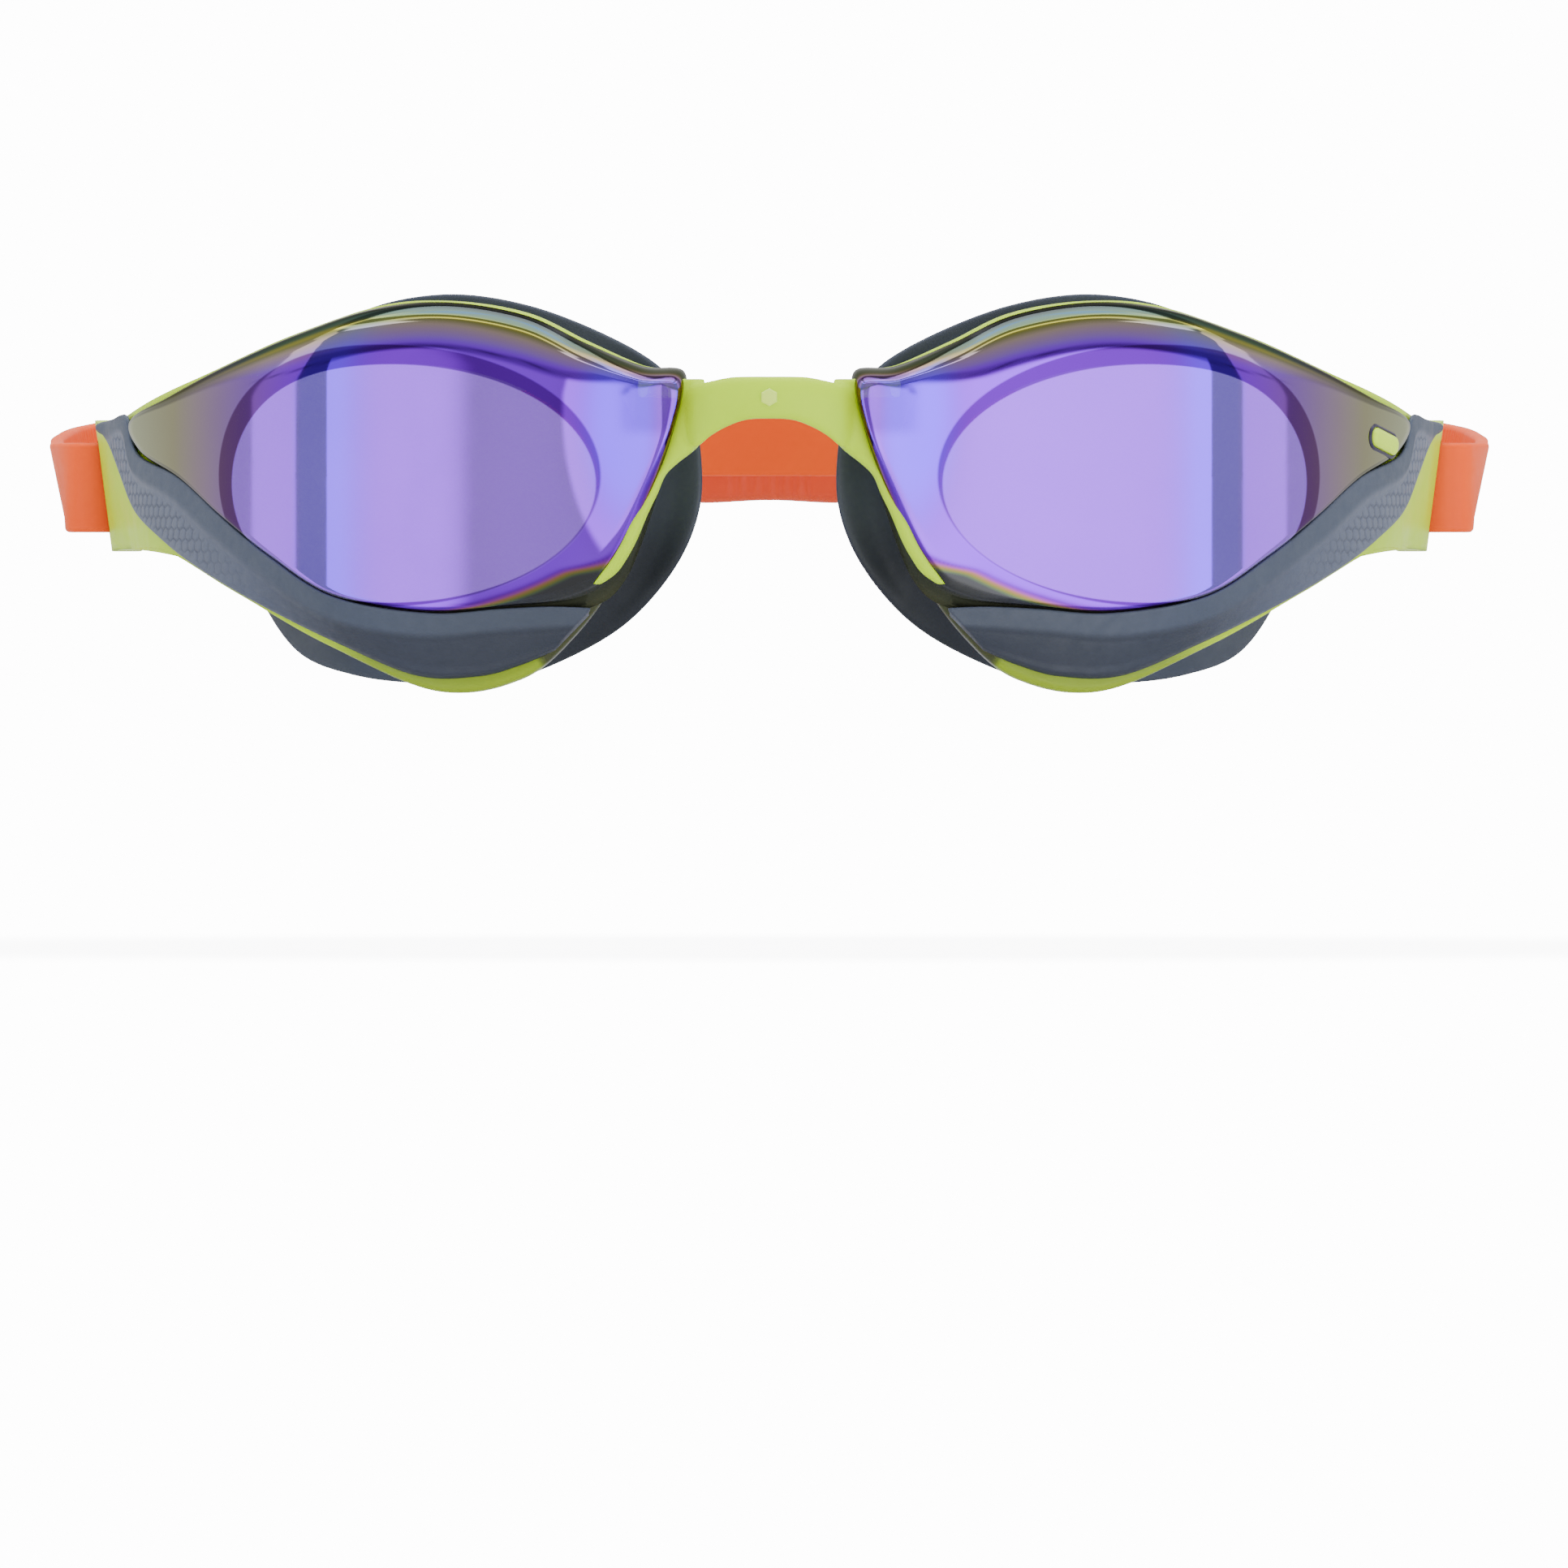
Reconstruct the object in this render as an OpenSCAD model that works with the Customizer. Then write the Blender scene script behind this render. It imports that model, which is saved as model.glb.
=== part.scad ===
// Racing swim goggles: wrap-around mirror lenses on a one-piece rim and arm each side,
// a soft bridge, two cup gaskets and a double silicone strap with a rear clip.
// Millimetres. +X is the viewer's right, -Y the front, +Z up. The lowest rim is at Z = 0.

/* [Frame] */
// Lateral place where the rim's curve starts, beside the nose
nose_x = 13; // [12:0.5:15]
// Radius of the rim's curve in front of the eye
brow_r = 88; // [70:1:110]
// Radius of the rim's curve round the temple
wrap_r = 52; // [48:1:56]
// Radius of the arm along the head
arm_r = 74; // [70:1:80]
// Depth of the rim, front to back
rim_d = 3; // [2.5:0.1:4]

/* [Lens] */
// Wall thickness of the lens
lens_t = 1.6; // [1.2:0.1:2]
// Height of the lens front over the rim, in front of the eye
lens_rise = 3.3; // [2.8:0.1:4]
// Half length of the clear eye window, along the curve
window_a = 23.6; // [20:0.1:25]
// Half height of the clear eye window
window_b = 13.8; // [11:0.1:15]

/* [Strap] */
// Width of the silicone strap
strap_w = 10.4; // [8:0.1:10.6]
// Thickness of the silicone strap
strap_t = 1.6; // [1.2:0.1:1.8]
// Height of the strap's middle above the lowest rim
strap_z = 23.5; // [22:0.1:25]
// Rise of the outer band towards the back, in degrees
outer_tilt = 4.4; // [0:0.1:12]
// Rise of the inner band towards the back, in degrees
inner_tilt = 6.8; // [0:0.1:12]

/* [Clip] */
// Length of the rear clip along the strap
clip_l = 17; // [12:0.5:20]
// Wall thickness of the rear clip
clip_wall = 1.3; // [1:0.1:1.6]
// Clearance between the clip and the strap layers
clip_gap = 0.3; // [0.2:0.05:0.4]

/* [Hidden] */

around = 60;          // samples round a closed outline
deg = 180 / PI;
rim_y = 10;           // depth of the rim's front behind the foremost point
fit_gap = 0.15;       // gap between pieces that are bonded or snapped together

// Outlines are [distance along the rim's curve, height], and run from the nose
// over the brow to the temple and back under the eye.
lens_outline = [
    [-2.6, 31.5], [-3.3, 36.9], [1.5, 37.6], [8, 40.2], [15, 43.4], [24, 44.9],
    [33, 44.3], [43, 41.6], [55, 38], [69, 34.1], [80.8, 31.2], [77.5, 27.6],
    [66, 24.5], [56, 20.1], [46, 15.2], [36.5, 10.6], [26, 8.8], [16, 9.4],
    [8, 9.7], [3.4, 13.2], [-0.4, 23.4]
];
// Where the lens wall meets its front face, point for point with the outline.
face_outline = [
    [-1.8, 30.8], [-2.3, 35.4], [2, 36], [8.6, 38], [15.6, 40.6], [24, 42.2],
    [32.6, 41.7], [42, 39.2], [54, 36.2], [67.6, 33.1], [78.4, 31], [75.6, 28.2],
    [65.2, 25.3], [55.6, 21], [45.6, 16.1], [36.2, 11.6], [26, 9.9], [16.4, 10.6],
    [9.8, 12.6], [5.6, 15.6], [1, 24.4]
];
frame_outline = [
    [-1.8, 31.5], [-2.4, 36.8], [1.8, 38], [8, 40.7], [15, 43.9], [24, 45.3],
    [33, 44.8], [45, 41.6], [64, 36.2], [90, 31], [110.4, 30.4], [111.2, 17.4],
    [92, 16.4], [72, 16.4], [55, 11.5], [40, 5.4], [26, 0.2], [16, 1.5],
    [9.6, 6.4], [4.2, 13.8], [-0.1, 24]
];
hole_outline = [
    [2.1, 28.5], [3.4, 33], [6, 36.6], [10, 39.6], [16, 42], [23, 43],
    [31, 42.3], [38.5, 39.6], [45.5, 35.8], [51.5, 31.2], [55.8, 26.6], [56, 21.5],
    [52.6, 16.6], [47.6, 12.4], [41.5, 8.6], [34.5, 5.2], [26, 3.2], [17.5, 4.2],
    [10.5, 8.2], [5.2, 14.4], [2.6, 21.5]
];
// The gasket in space: [across, depth, height] of its neck and of its two lips.
gasket_neck = [
    [14.3, 16.6, 28.5], [15.4, 16.7, 32.6], [18.2, 16.9, 36], [22.4, 17.3, 38.9],
    [28.6, 18.1, 41.3], [35.4, 19.3, 42.2], [42.6, 21.6, 41.2], [48.6, 25, 38],
    [53.6, 29.4, 34.2], [57, 34, 30.2], [59, 38.6, 26], [59, 39.6, 20.5],
    [56.6, 37.8, 15], [52.6, 34, 10.4], [47.4, 29.6, 7], [41, 25.6, 4.8],
    [33.4, 22.6, 3.9], [26.4, 20.8, 5.6], [21, 19.4, 9.4], [16.8, 17.8, 14.6],
    [14.7, 16.9, 21.5]
];
gasket_lip = [
    [8.2, 18.7, 28.5], [9.4, 19.2, 33], [13, 20, 37.6], [19.6, 20, 41.4],
    [28, 20.7, 44.5], [36.6, 22.2, 45.7], [45, 25.2, 44.4], [51.4, 29.8, 41],
    [56.2, 35.1, 36.4], [59.6, 41.2, 30.6], [61.5, 47.4, 25], [61.2, 49.3, 18.6],
    [59, 46.8, 11.6], [54.4, 40.2, 4.9], [48, 33.4, 2.2], [40, 29, 1.2],
    [31, 26.6, 1.4], [23.2, 24.4, 4.1], [16.2, 22, 8.4], [10.8, 19.8, 14.8],
    [8.2, 18.6, 21.5]
];

// Strap: [across, depth] of its middle line, from the arm's window to the back.
strap_y = 76.2;       // depth where the strap crosses the arm's window
swing_y = 92;         // depth of the line that the strap's bands swing about
outer_route = [[78.6, strap_y], [80.7, 77.6], [81.6, 82.2], [82, 90], [81.9, 101]];
inner_route = [[73.6, strap_y], [70.8, 77.6], [68.2, 82.2], [67, 90], [66.6, 100]];
outer_back = [
    [82, 84], [82, 92], [81.8, 103], [79.6, 117], [73.6, 130.5], [62.9, 142], [49, 150.4]
];
inner_back = [
    [67, 84], [67, 92], [66.4, 101], [63.6, 112.5], [57.6, 123.8], [48, 133.8],
    [35, 141.4], [20, 145.4], [0, 146.6]
];
lap_y = 157;          // depth of the two lapped strap ends, between the layers
lap_x = 21;           // the strap ends reach this far past the middle
tongue_r = strap_w / 2;
swing_gap = 0.35;

// Arm window that the strap passes through
slot_front = 74.6;
slot_rear = 82.6;
slot_h = 10.9;

layer_gap = 0.05;
clip_d = 2 * strap_t + layer_gap + 2 * clip_gap + 2 * clip_wall;
// The box's middle, halfway to the clip's rear lower edge, as the foremost point is at 0
mid_y = (swing_y + (lap_y - swing_y + clip_d / 2) * cos(outer_tilt)
    + (strap_w / 2 + clip_gap + clip_wall) * sin(outer_tilt)) / 2;

$fn = 48;

// ---- Curves ----

function ramp(a, b, x) = let (t = min(1, max(0, (x - a) / (b - a)))) t * t * (3 - 2 * t);

function spline(p0, p1, p2, p3, t) =
    0.5 * (2 * p1 + (p2 - p0) * t + (2 * p0 - 5 * p1 + 4 * p2 - p3) * t * t
    + (3 * p1 - p0 - 3 * p2 + p3) * t * t * t);

function closed_curve(p, n) = let (m = len(p)) [
    for (i = [0:n - 1]) let (f = i * m / n, k = floor(f))
        spline(p[(k + m - 1) % m], p[k], p[(k + 1) % m], p[(k + 2) % m], f - k)
];

function open_curve(p, per) = let (m = len(p)) [
    for (i = [0:(m - 1) * per]) let (k = min(m - 2, floor(i / per)))
        spline(p[max(0, k - 1)], p[k], p[k + 1], p[min(m - 1, k + 2)], i / per - k)
];

// The rim's curve in plan is a straight start, three tangent arcs and a straight end.
arc_s = [0, 18, 58, 102];
arc_r = [brow_r, wrap_r, arm_r];
arc_a = [0, 18 / brow_r * deg, (18 / brow_r + 40 / wrap_r) * deg,
    (18 / brow_r + 40 / wrap_r + 44 / arm_r) * deg];
function arc_step(p, r, a, b) = p + r * [sin(b) - sin(a), cos(a) - cos(b)];
arc_p0 = [nose_x, rim_y];
arc_p1 = arc_step(arc_p0, brow_r, 0, arc_a[1]);
arc_p2 = arc_step(arc_p1, wrap_r, arc_a[1], arc_a[2]);
arc_p3 = arc_step(arc_p2, arm_r, arc_a[2], arc_a[3]);
arc_p = [arc_p0, arc_p1, arc_p2, arc_p3];

function arc_of(s) = s < arc_s[1] ? 0 : s < arc_s[2] ? 1 : 2;
function rim_angle(s) = s <= 0 ? 0 : s >= arc_s[3] ? arc_a[3]
    : let (k = arc_of(s)) arc_a[k] + (s - arc_s[k]) / arc_r[k] * deg;
function rim_point(s) = s <= 0 ? arc_p0 + [s, 0]
    : s >= arc_s[3] ? arc_p3 + (s - arc_s[3]) * [cos(arc_a[3]), sin(arc_a[3])]
    : let (k = arc_of(s)) arc_step(arc_p[k], arc_r[k], arc_a[k], rim_angle(s));

// Round the temple the surface leans in towards its lower edge.
function lean(s, z) = 0.13 * (z - 30) * ramp(62, 95, s);

// A place on the wrapped surface: along the curve, up, and out from it.
function wrap(s, z, n) = let (a = rim_angle(s), p = rim_point(s), d = n + lean(s, z))
    [p[0] + d * sin(a), p[1] - d * cos(a) - mid_y, z];
function in_space(p) = [p[0], p[1] - mid_y, p[2]];

function mix(a, b, t) = [for (i = [0:len(a) - 1]) a[i] + (b[i] - a[i]) * t];
function about(loop, c, f) = [for (p = loop) c + f * (p - c)];

// ---- Solids from loops of points ----

function ring_faces(m, n, wrapped) = [
    for (j = [0:m - (wrapped ? 1 : 2)]) for (i = [0:n - 1])
        let (a = j * n + i, b = j * n + (i + 1) % n, k = (j + 1) % m,
            c = k * n + (i + 1) % n, d = k * n + i)
        each [[a, b, c], [a, c, d]]
];

// Rings that close on themselves, as a hollow rim does.
module ring_solid(loops) {
    m = len(loops);
    n = len(loops[0]);
    polyhedron([for (l = loops) each l],
        [for (f = ring_faces(m, n, true)) [f[2], f[1], f[0]]]);
}

function middle(loop) = [for (k = [0:2]) [for (p = loop) p[k]] * [for (p = loop) 1 / len(loop)]];

// Rings from one end to another, each end closed by a fan about a middle point.
module capped_solid(loops, first, last) {
    m = len(loops);
    n = len(loops[0]);
    points = [for (l = loops) each l, first, last];
    faces = [
        each ring_faces(m, n, false),
        for (i = [0:n - 1]) [(i + 1) % n, i, m * n],
        for (i = [0:n - 1]) [(m - 1) * n + i, (m - 1) * n + (i + 1) % n, m * n + 1]
    ];
    polyhedron(points, faces);
}

module side(s) {
    if (s > 0) children();
    else mirror([1, 0, 0]) children();
}

// ---- Lens ----

eye = [30.3, 24.1];   // middle of the eye window
function lens_n(s, z) =
    1.2 + (lens_rise - 1.2) * (1 - ramp(42, 66, s)) + 1.5 * exp(-pow((s - 36) / 8, 2))
    + 5.6 * exp(-pow((s + 2) / 7.2, 2)) * (0.3 + 0.7 * ramp(12, 32, z));

// Steps over the lens: [share of the way from outline to face, size, share of the rise].
lens_steps = [
    [0, 1, 0], [0.15, 1, 0.45], [0.45, 1, 0.78], [0.8, 1, 0.94], [1, 0.975, 1],
    [1, 0.6, 1], [1, 0.25, 1]
];
lens_eps = 0.4;       // the lens sits this far over the rim

function lens_loop(step, depth) = let (o = closed_curve(lens_outline, around),
    g = closed_curve(face_outline, around)) [
    for (p = mix(o, g, step[0])) let (r = norm(p - eye),
        q = eye + (p - eye) * step[1] * (r - depth) / r,
        n = lens_n(q[0], q[1]) - depth)
        wrap(q[0], q[1], max(lens_eps, lens_eps + (n - lens_eps) * step[2]))
];

module plug_space(grow) {
    translate([12.1, 4.5 - mid_y, 35])
        cube([6 + grow, 1.9 + grow, 2.2 + grow], center = true);
}

module lens() {
    outside = [for (s = lens_steps) lens_loop(s, 0)];
    inside = [for (i = [len(lens_steps) - 1:-1:0]) lens_loop(lens_steps[i], lens_t)];
    m = len(outside);
    loops = concat(outside, inside);
    n = around;
    top = middle(outside[m - 1]);
    bottom = middle(inside[0]);
    points = [for (l = loops) each l, top, bottom];
    faces = [
        each ring_faces(m, n, false),
        for (f = ring_faces(m, n, false)) f + m * n * [1, 1, 1],
        for (i = [0:n - 1]) [(m - 1) * n + i, (m - 1) * n + (i + 1) % n, 2 * m * n],
        for (i = [0:n - 1]) [m * n + (i + 1) % n, m * n + i, 2 * m * n + 1],
        for (i = [0:n - 1]) let (a = (2 * m - 1) * n + i, b = (2 * m - 1) * n + (i + 1) % n)
            each [[a, b, (i + 1) % n], [a, (i + 1) % n, i]]
    ];
    color([0.42, 0.27, 0.85, 0.6])
        difference() {
            polyhedron(points, faces);
            plug_space(2 * fit_gap);
            leg_space(fit_gap);
        }
}

// ---- Rim and arm ----

function frame_n(s) = 1.4 * ramp(91, 99, s);
function frame_back(s) = -rim_d + ramp(60, 104, s);
frame_shares = [0, 0.12, 0.3, 0.5, 0.7, 0.86, 1];

function frame_loop(t, outer) = let (h = closed_curve(hole_outline, around),
    o = closed_curve(frame_outline, around)) [
    for (i = [0:around - 1]) let (p = h[i] + (o[i] - h[i]) * t)
        wrap(p[0], p[1], outer ? frame_n(p[0]) : frame_back(p[0]))
];

module frame() {
    front = [for (t = frame_shares) frame_loop(t, true)];
    back = [for (i = [len(frame_shares) - 1:-1:0]) frame_loop(frame_shares[i], false)];
    color([0.85, 0.95, 0.3])
        difference() {
            ring_solid(concat(front, back));
            translate([70, slot_front - mid_y, strap_z - slot_h / 2])
                cube([12, slot_rear - slot_front, slot_h]);
        }
}

// ---- Grip panel: soft overmould from under the eye up round the temple ----

panel_top = [
    [95.5, 30.5], [88, 31.1], [81.4, 31.4], [78.6, 27.2], [66.2, 23.9], [56.2, 19.5],
    [46.2, 14.6], [36.6, 10], [26, 8.2], [18, 8.7], [12.5, 9], [7.6, 9]
];
panel_low = [
    [94.6, 29.6], [90.6, 27.6], [86.8, 24.8], [80.6, 20.6], [70.8, 17.4], [58, 13],
    [47.5, 9.2], [38, 5.6], [28, 2], [20.6, 1.9], [15.6, 3.2], [11.6, 4.9]
];

module grip_panel() {
    per = 4;
    top = open_curve(panel_top, per);
    low = open_curve(panel_low, per);
    n = len(top);
    lift = 0.25;
    function high(p, edge) = edge ? max(0.9, lens_n(p[0], p[1]) - 0.25) : 0.9;
    sections = [for (i = [0:n - 1]) let (a = top[i], b = low[i], m = (a + b) / 2) [
        wrap(a[0], a[1], lift + frame_n(a[0])),
        wrap(a[0], a[1], high(a, true) + frame_n(a[0])),
        wrap(m[0], m[1], (high(a, true) + 0.9) / 2 + 0.35 + frame_n(m[0])),
        wrap(b[0], b[1], high(b, false) + frame_n(b[0])),
        wrap(b[0], b[1], lift + frame_n(b[0])),
        wrap(m[0], m[1], lift + frame_n(m[0]))
    ]];
    color([0.38, 0.41, 0.46])
        capped_solid(sections, middle(sections[0]), middle(sections[n - 1]));
}

// ---- Eye ring: hard carrier behind the lens, with the clear window ----

ring_front = -0.35;
ring_back = -2.4;
function hole_inset(d) = let (h = closed_curve(hole_outline, around))
    [for (p = h) let (r = norm(p - eye)) eye + (p - eye) * (r - d) / r];
function window_loop(grow) = [for (p = hole_inset(0))
    let (t = atan2((p[1] - eye[1]) / window_b, (p[0] - eye[0]) / window_a))
        eye + [(window_a + grow) * cos(t), (window_b + grow) * sin(t)]];
function at(loop, n) = [for (p = loop) wrap(p[0], p[1], n)];

module eye_ring() {
    outer = hole_inset(fit_gap);
    inner = window_loop(0);
    between = mix(inner, outer, 0.5);
    color([0.2, 0.21, 0.25])
        ring_solid([
            at(inner, ring_front), at(between, ring_front), at(outer, ring_front),
            at(outer, ring_back), at(between, ring_back), at(inner, ring_back)
        ]);
}

// ---- Gasket ----

gasket_front = ring_back - 0.15;
gasket_wall = 1.5;
lip_t = 1.3;
gasket_mid = [39, 30, 24];

module gasket() {
    neck = [for (p = closed_curve(gasket_neck, around)) in_space(p)];
    lip = [for (p = closed_curve(gasket_lip, around)) in_space(p)];
    c = in_space(gasket_mid);
    start = at(hole_inset(fit_gap), gasket_front);
    inside_start = at(window_loop(0.8), gasket_front);
    inside_neck = [for (p = neck) let (v = [c[0] - p[0], 0, c[2] - p[2]])
        p + v / norm(v) * gasket_wall + [0, 0.6, 0]];
    lip_front = [for (p = lip) let (nose = ramp(22, 9, p[0])) p + [0, -lip_t - 1.6 * nose, 0]];
    lip_mid = mix(neck, lip_front, 0.55);
    bulge = [for (p = lip_mid) p + [0, 0.5, 0]];
    lip_back = [for (p = lip) let (v = [c[0] - p[0], 0, c[2] - p[2]]) p + v / norm(v) * 2.2
        + [0, 0.2, 0]];
    color([0.33, 0.37, 0.42])
        ring_solid([start, mix(start, neck, 0.55), neck, bulge, lip_front, lip, lip_back,
            inside_neck, mix(inside_neck, inside_start, 0.5), inside_start]);
}

// ---- Nose bridge: arch, a plug into each lens and a leg down each lens edge ----

// Stations of the arch and of the leg: [across, depth, height, half depth, half height or width]
arch = [
    [0, 1.45, 33.95, 1.15, 2.45], [2.5, 1.55, 33.9, 1.15, 2.5], [4.6, 1.95, 33.5, 1.15, 2.8],
    [6.6, 2.5, 32.75, 1.15, 3.15], [8.3, 3.4, 31.9, 1.15, 3.65], [9.5, 4.2, 31.9, 1.05, 3.4]
];
leg = [
    [9.3, 4.3, 34.8, 1, 1.1], [9.25, 4.4, 33, 1.1, 1.3], [9.3, 4.55, 30.2, 1.2, 2.3], [10.2, 4.8, 28.2, 1.25, 1.95],
    [11.6, 5.1, 26.4, 1.25, 1.1], [12.6, 5.3, 25, 1.25, 0.7], [13.5, 5.6, 23, 1.2, 0.75],
    [14.75, 5.9, 20.6, 1.15, 0.85], [16.1, 6.1, 17.4, 1.05, 0.85], [17.5, 6.4, 15, 0.95, 0.9],
    [18.5, 6.65, 13.7, 0.85, 0.9], [19.8, 6.9, 12.5, 0.6, 0.5]
];

function oval(p, along, grow) = let (k = 16) [for (i = [0:k - 1]) let (t = -360 * i / k,
    q = [sign(cos(t)) * pow(abs(cos(t)), 0.7), sign(sin(t)) * pow(abs(sin(t)), 0.7)],
    d = (p[3] + grow) * q[0], h = (p[4] + grow) * q[1])
    [p[0] + (along ? h : 0), p[1] - mid_y + d, p[2] + (along ? 0 : h)]];

module leg_space(grow) {
    down = open_curve(leg, 2);
    loops = [for (p = down) oval(p, true, grow)];
    capped_solid(loops, middle(loops[0]), middle(loops[len(loops) - 1]) - [0, 0, grow]);
}

module leg_and_plug() {
    leg_space(0);
    translate([7.4, 3.55 - mid_y, 33.9]) cube([5, 1.9, 2.2]);
    plug_space(0);
}

module nose_bridge() {
    half = open_curve(arch, 4);
    other = [for (i = [len(half) - 1:-1:1]) [-half[i][0], each [for (k = [1:4]) half[i][k]]]];
    sections = [for (p = concat(other, half)) oval(p, false, 0)];
    color([0.85, 0.95, 0.3]) {
        capped_solid(sections, middle(sections[0]), middle(sections[len(sections) - 1]));
        leg_and_plug();
        mirror([1, 0, 0]) leg_and_plug();
        translate([0, 1.4 - mid_y, 34]) rotate([90, 0, 0]) cylinder(r = 1, h = 1.4, $fn = 6);
    }
}

// ---- Badge: plain raised capsule on the right lens ----

badge_s = 71;
badge_z = 28.9;
module lens_badge() {
    a = rim_angle(badge_s);
    p = wrap(badge_s, badge_z, lens_n(badge_s, badge_z) + 0.1);
    color([0.85, 0.95, 0.3])
        translate(p) rotate([90, 0, a]) rotate([0, 0, -12])
            linear_extrude(0.6) hull() {
                translate([-2.4, 0]) circle(r = 1.1);
                translate([2.4, 0]) circle(r = 1.1);
            }
}

// ---- Strap ----

function normals(p) = [for (i = [0:len(p) - 1])
    let (d = p[min(len(p) - 1, i + 1)] - p[max(0, i - 1)]) [d[1], -d[0]] / norm(d)];
function strip(p, t) = let (n = normals(p)) concat(
    [for (i = [0:len(p) - 1]) p[i] + n[i] * t / 2],
    [for (i = [len(p) - 1:-1:0]) p[i] - n[i] * t / 2]);

module band(p, t) {
    translate([0, -mid_y, strap_z - strap_w / 2])
        linear_extrude(strap_w) polygon(strip(p, t));
}

module swing_round(r, x0, x1) {
    translate([x0, swing_y - mid_y, strap_z]) rotate([0, 90, 0]) cylinder(r = r, h = x1 - x0);
}

module strap_loop() {
    route = concat([for (i = [len(inner_route) - 1:-1:0]) inner_route[i]], outer_route);
    color([1, 0.5, 0.3])
        difference() {
            band(open_curve(route, 6), strap_t);
            swing_round(tongue_r + swing_gap, 50, 100);
            translate([50, swing_y - 4.1 - mid_y, 0]) cube([50, 20, 50]);
        }
}

module tilted(angle) {
    translate([0, swing_y - mid_y, strap_z]) rotate([angle, 0, 0])
        translate([0, mid_y - swing_y, -strap_z]) children();
}

// A band's front end is a round tongue about the swing line.
module swing_end() {
    intersection() {
        children();
        union() {
            swing_round(tongue_r, -100, 100);
            translate([-100, swing_y - mid_y, 0]) cube([200, 100, 60]);
        }
    }
}

module outer_strap(layer) {
    lap = lap_y + layer * (strap_t + layer_gap) / 2;
    route = concat(outer_back, [[36, lap - 2.5], [28, lap - 0.5], [22, lap], [0, lap], [-lap_x, lap]]);
    color([1, 0.5, 0.3]) tilted(outer_tilt) swing_end() band(open_curve(route, 6), strap_t);
}

module inner_strap() {
    right = open_curve(inner_back, 6);
    left = [for (i = [len(right) - 2:-1:0]) [-right[i][0], right[i][1]]];
    color([1, 0.5, 0.3]) tilted(inner_tilt) swing_end() band(concat(right, left), strap_t);
}

// ---- Rear clip ----

module strap_clip() {
    inner_h = strap_w + 2 * clip_gap;
    color([0.85, 0.36, 0.2]) tilted(outer_tilt) translate([0, lap_y - mid_y, strap_z])
        difference() {
            cube([clip_l, clip_d, inner_h + 2 * clip_wall], center = true);
            cube([clip_l + 1, clip_d - 2 * clip_wall, inner_h], center = true);
        }
}

side(1) lens();  // lens_right
side(-1) lens();  // lens_left
side(1) frame();  // frame_right
side(-1) frame();  // frame_left
nose_bridge();
side(1) grip_panel();  // grip_panel_right
side(-1) grip_panel();  // grip_panel_left
side(1) gasket();  // gasket_right
side(-1) gasket();  // gasket_left
side(1) eye_ring();  // eye_ring_right
side(-1) eye_ring();  // eye_ring_left
lens_badge();
side(1) strap_loop();  // strap_loop_right
side(-1) strap_loop();  // strap_loop_left
side(1) outer_strap(1);  // outer_strap_right
side(-1) outer_strap(-1);  // outer_strap_left
inner_strap();
strap_clip();
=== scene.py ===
import math

import bpy
import numpy as np
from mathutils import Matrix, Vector


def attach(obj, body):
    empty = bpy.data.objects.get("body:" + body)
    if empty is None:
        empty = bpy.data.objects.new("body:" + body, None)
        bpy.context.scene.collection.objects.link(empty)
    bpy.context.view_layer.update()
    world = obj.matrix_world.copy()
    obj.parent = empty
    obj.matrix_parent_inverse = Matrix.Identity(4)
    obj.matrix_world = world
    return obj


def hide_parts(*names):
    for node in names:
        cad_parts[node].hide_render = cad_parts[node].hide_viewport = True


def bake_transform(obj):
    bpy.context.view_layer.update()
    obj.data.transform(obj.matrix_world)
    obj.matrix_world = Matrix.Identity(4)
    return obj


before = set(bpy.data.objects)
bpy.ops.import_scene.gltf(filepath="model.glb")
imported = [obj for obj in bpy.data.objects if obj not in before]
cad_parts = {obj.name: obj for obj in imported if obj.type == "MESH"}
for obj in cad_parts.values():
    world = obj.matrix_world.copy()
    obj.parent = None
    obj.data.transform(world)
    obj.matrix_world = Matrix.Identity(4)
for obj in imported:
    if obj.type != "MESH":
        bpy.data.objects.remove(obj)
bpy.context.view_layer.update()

# Lengths below are millimetres in the row frame, like the CAD's, unless a name ends in _m.
MM = 0.001
MID_Y = 80.273        # the CAD's depths count from the foremost point, this far in front of Y = 0
EYE = np.array([30.3, 24.1])
WINDOW = (29.5, 24.1, 22.9, 13.7)   # the clear oval: middle and half sizes, along the rim's curve and up
BAND = (30.6, 25.0, 24.6, 15.1)     # the deep violet band round it
STRAP_Z = 23.5
STRAP_W = 10.4
STRAP_T = 1.6
SWING = (92.0, 23.5)  # depth and height of the line the strap's bands swing about
OUTER_TILT, INNER_TILT = math.radians(4.4), math.radians(6.8)
FLOOR_Z = -30         # clear of the bands and the clip when they hang down

# ---------------------------------------------------------------- curves


def ramp(a, b, x):
    t = np.clip((np.asarray(x, float) - a) / (b - a), 0, 1)
    return t * t * (3 - 2 * t)


def lerp(a, b, t):
    return a + (b - a) * t


def catmull(p, t, closed):
    """Points of the spline through p at the places t, counted in control points."""
    p = np.asarray(p, float)
    m = len(p)
    k = np.floor(t).astype(int)
    if closed:
        ids = [(k + d) % m for d in (-1, 0, 1, 2)]
    else:
        k = np.clip(k, 0, m - 2)
        ids = [np.clip(k + d, 0, m - 1) for d in (-1, 0, 1, 2)]
    f = (t - k).reshape((-1,) + (1,) * (p.ndim - 1))
    a, b, c, d = (p[i] for i in ids)
    square, cube = 2 * a - 5 * b + 4 * c - d, 3 * b - a - 3 * c + d
    return 0.5 * (2 * b + (c - a) * f + square * f ** 2 + cube * f ** 3)


def closed_curve(p, n):
    return catmull(p, np.arange(n) * len(p) / n, True)


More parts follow.
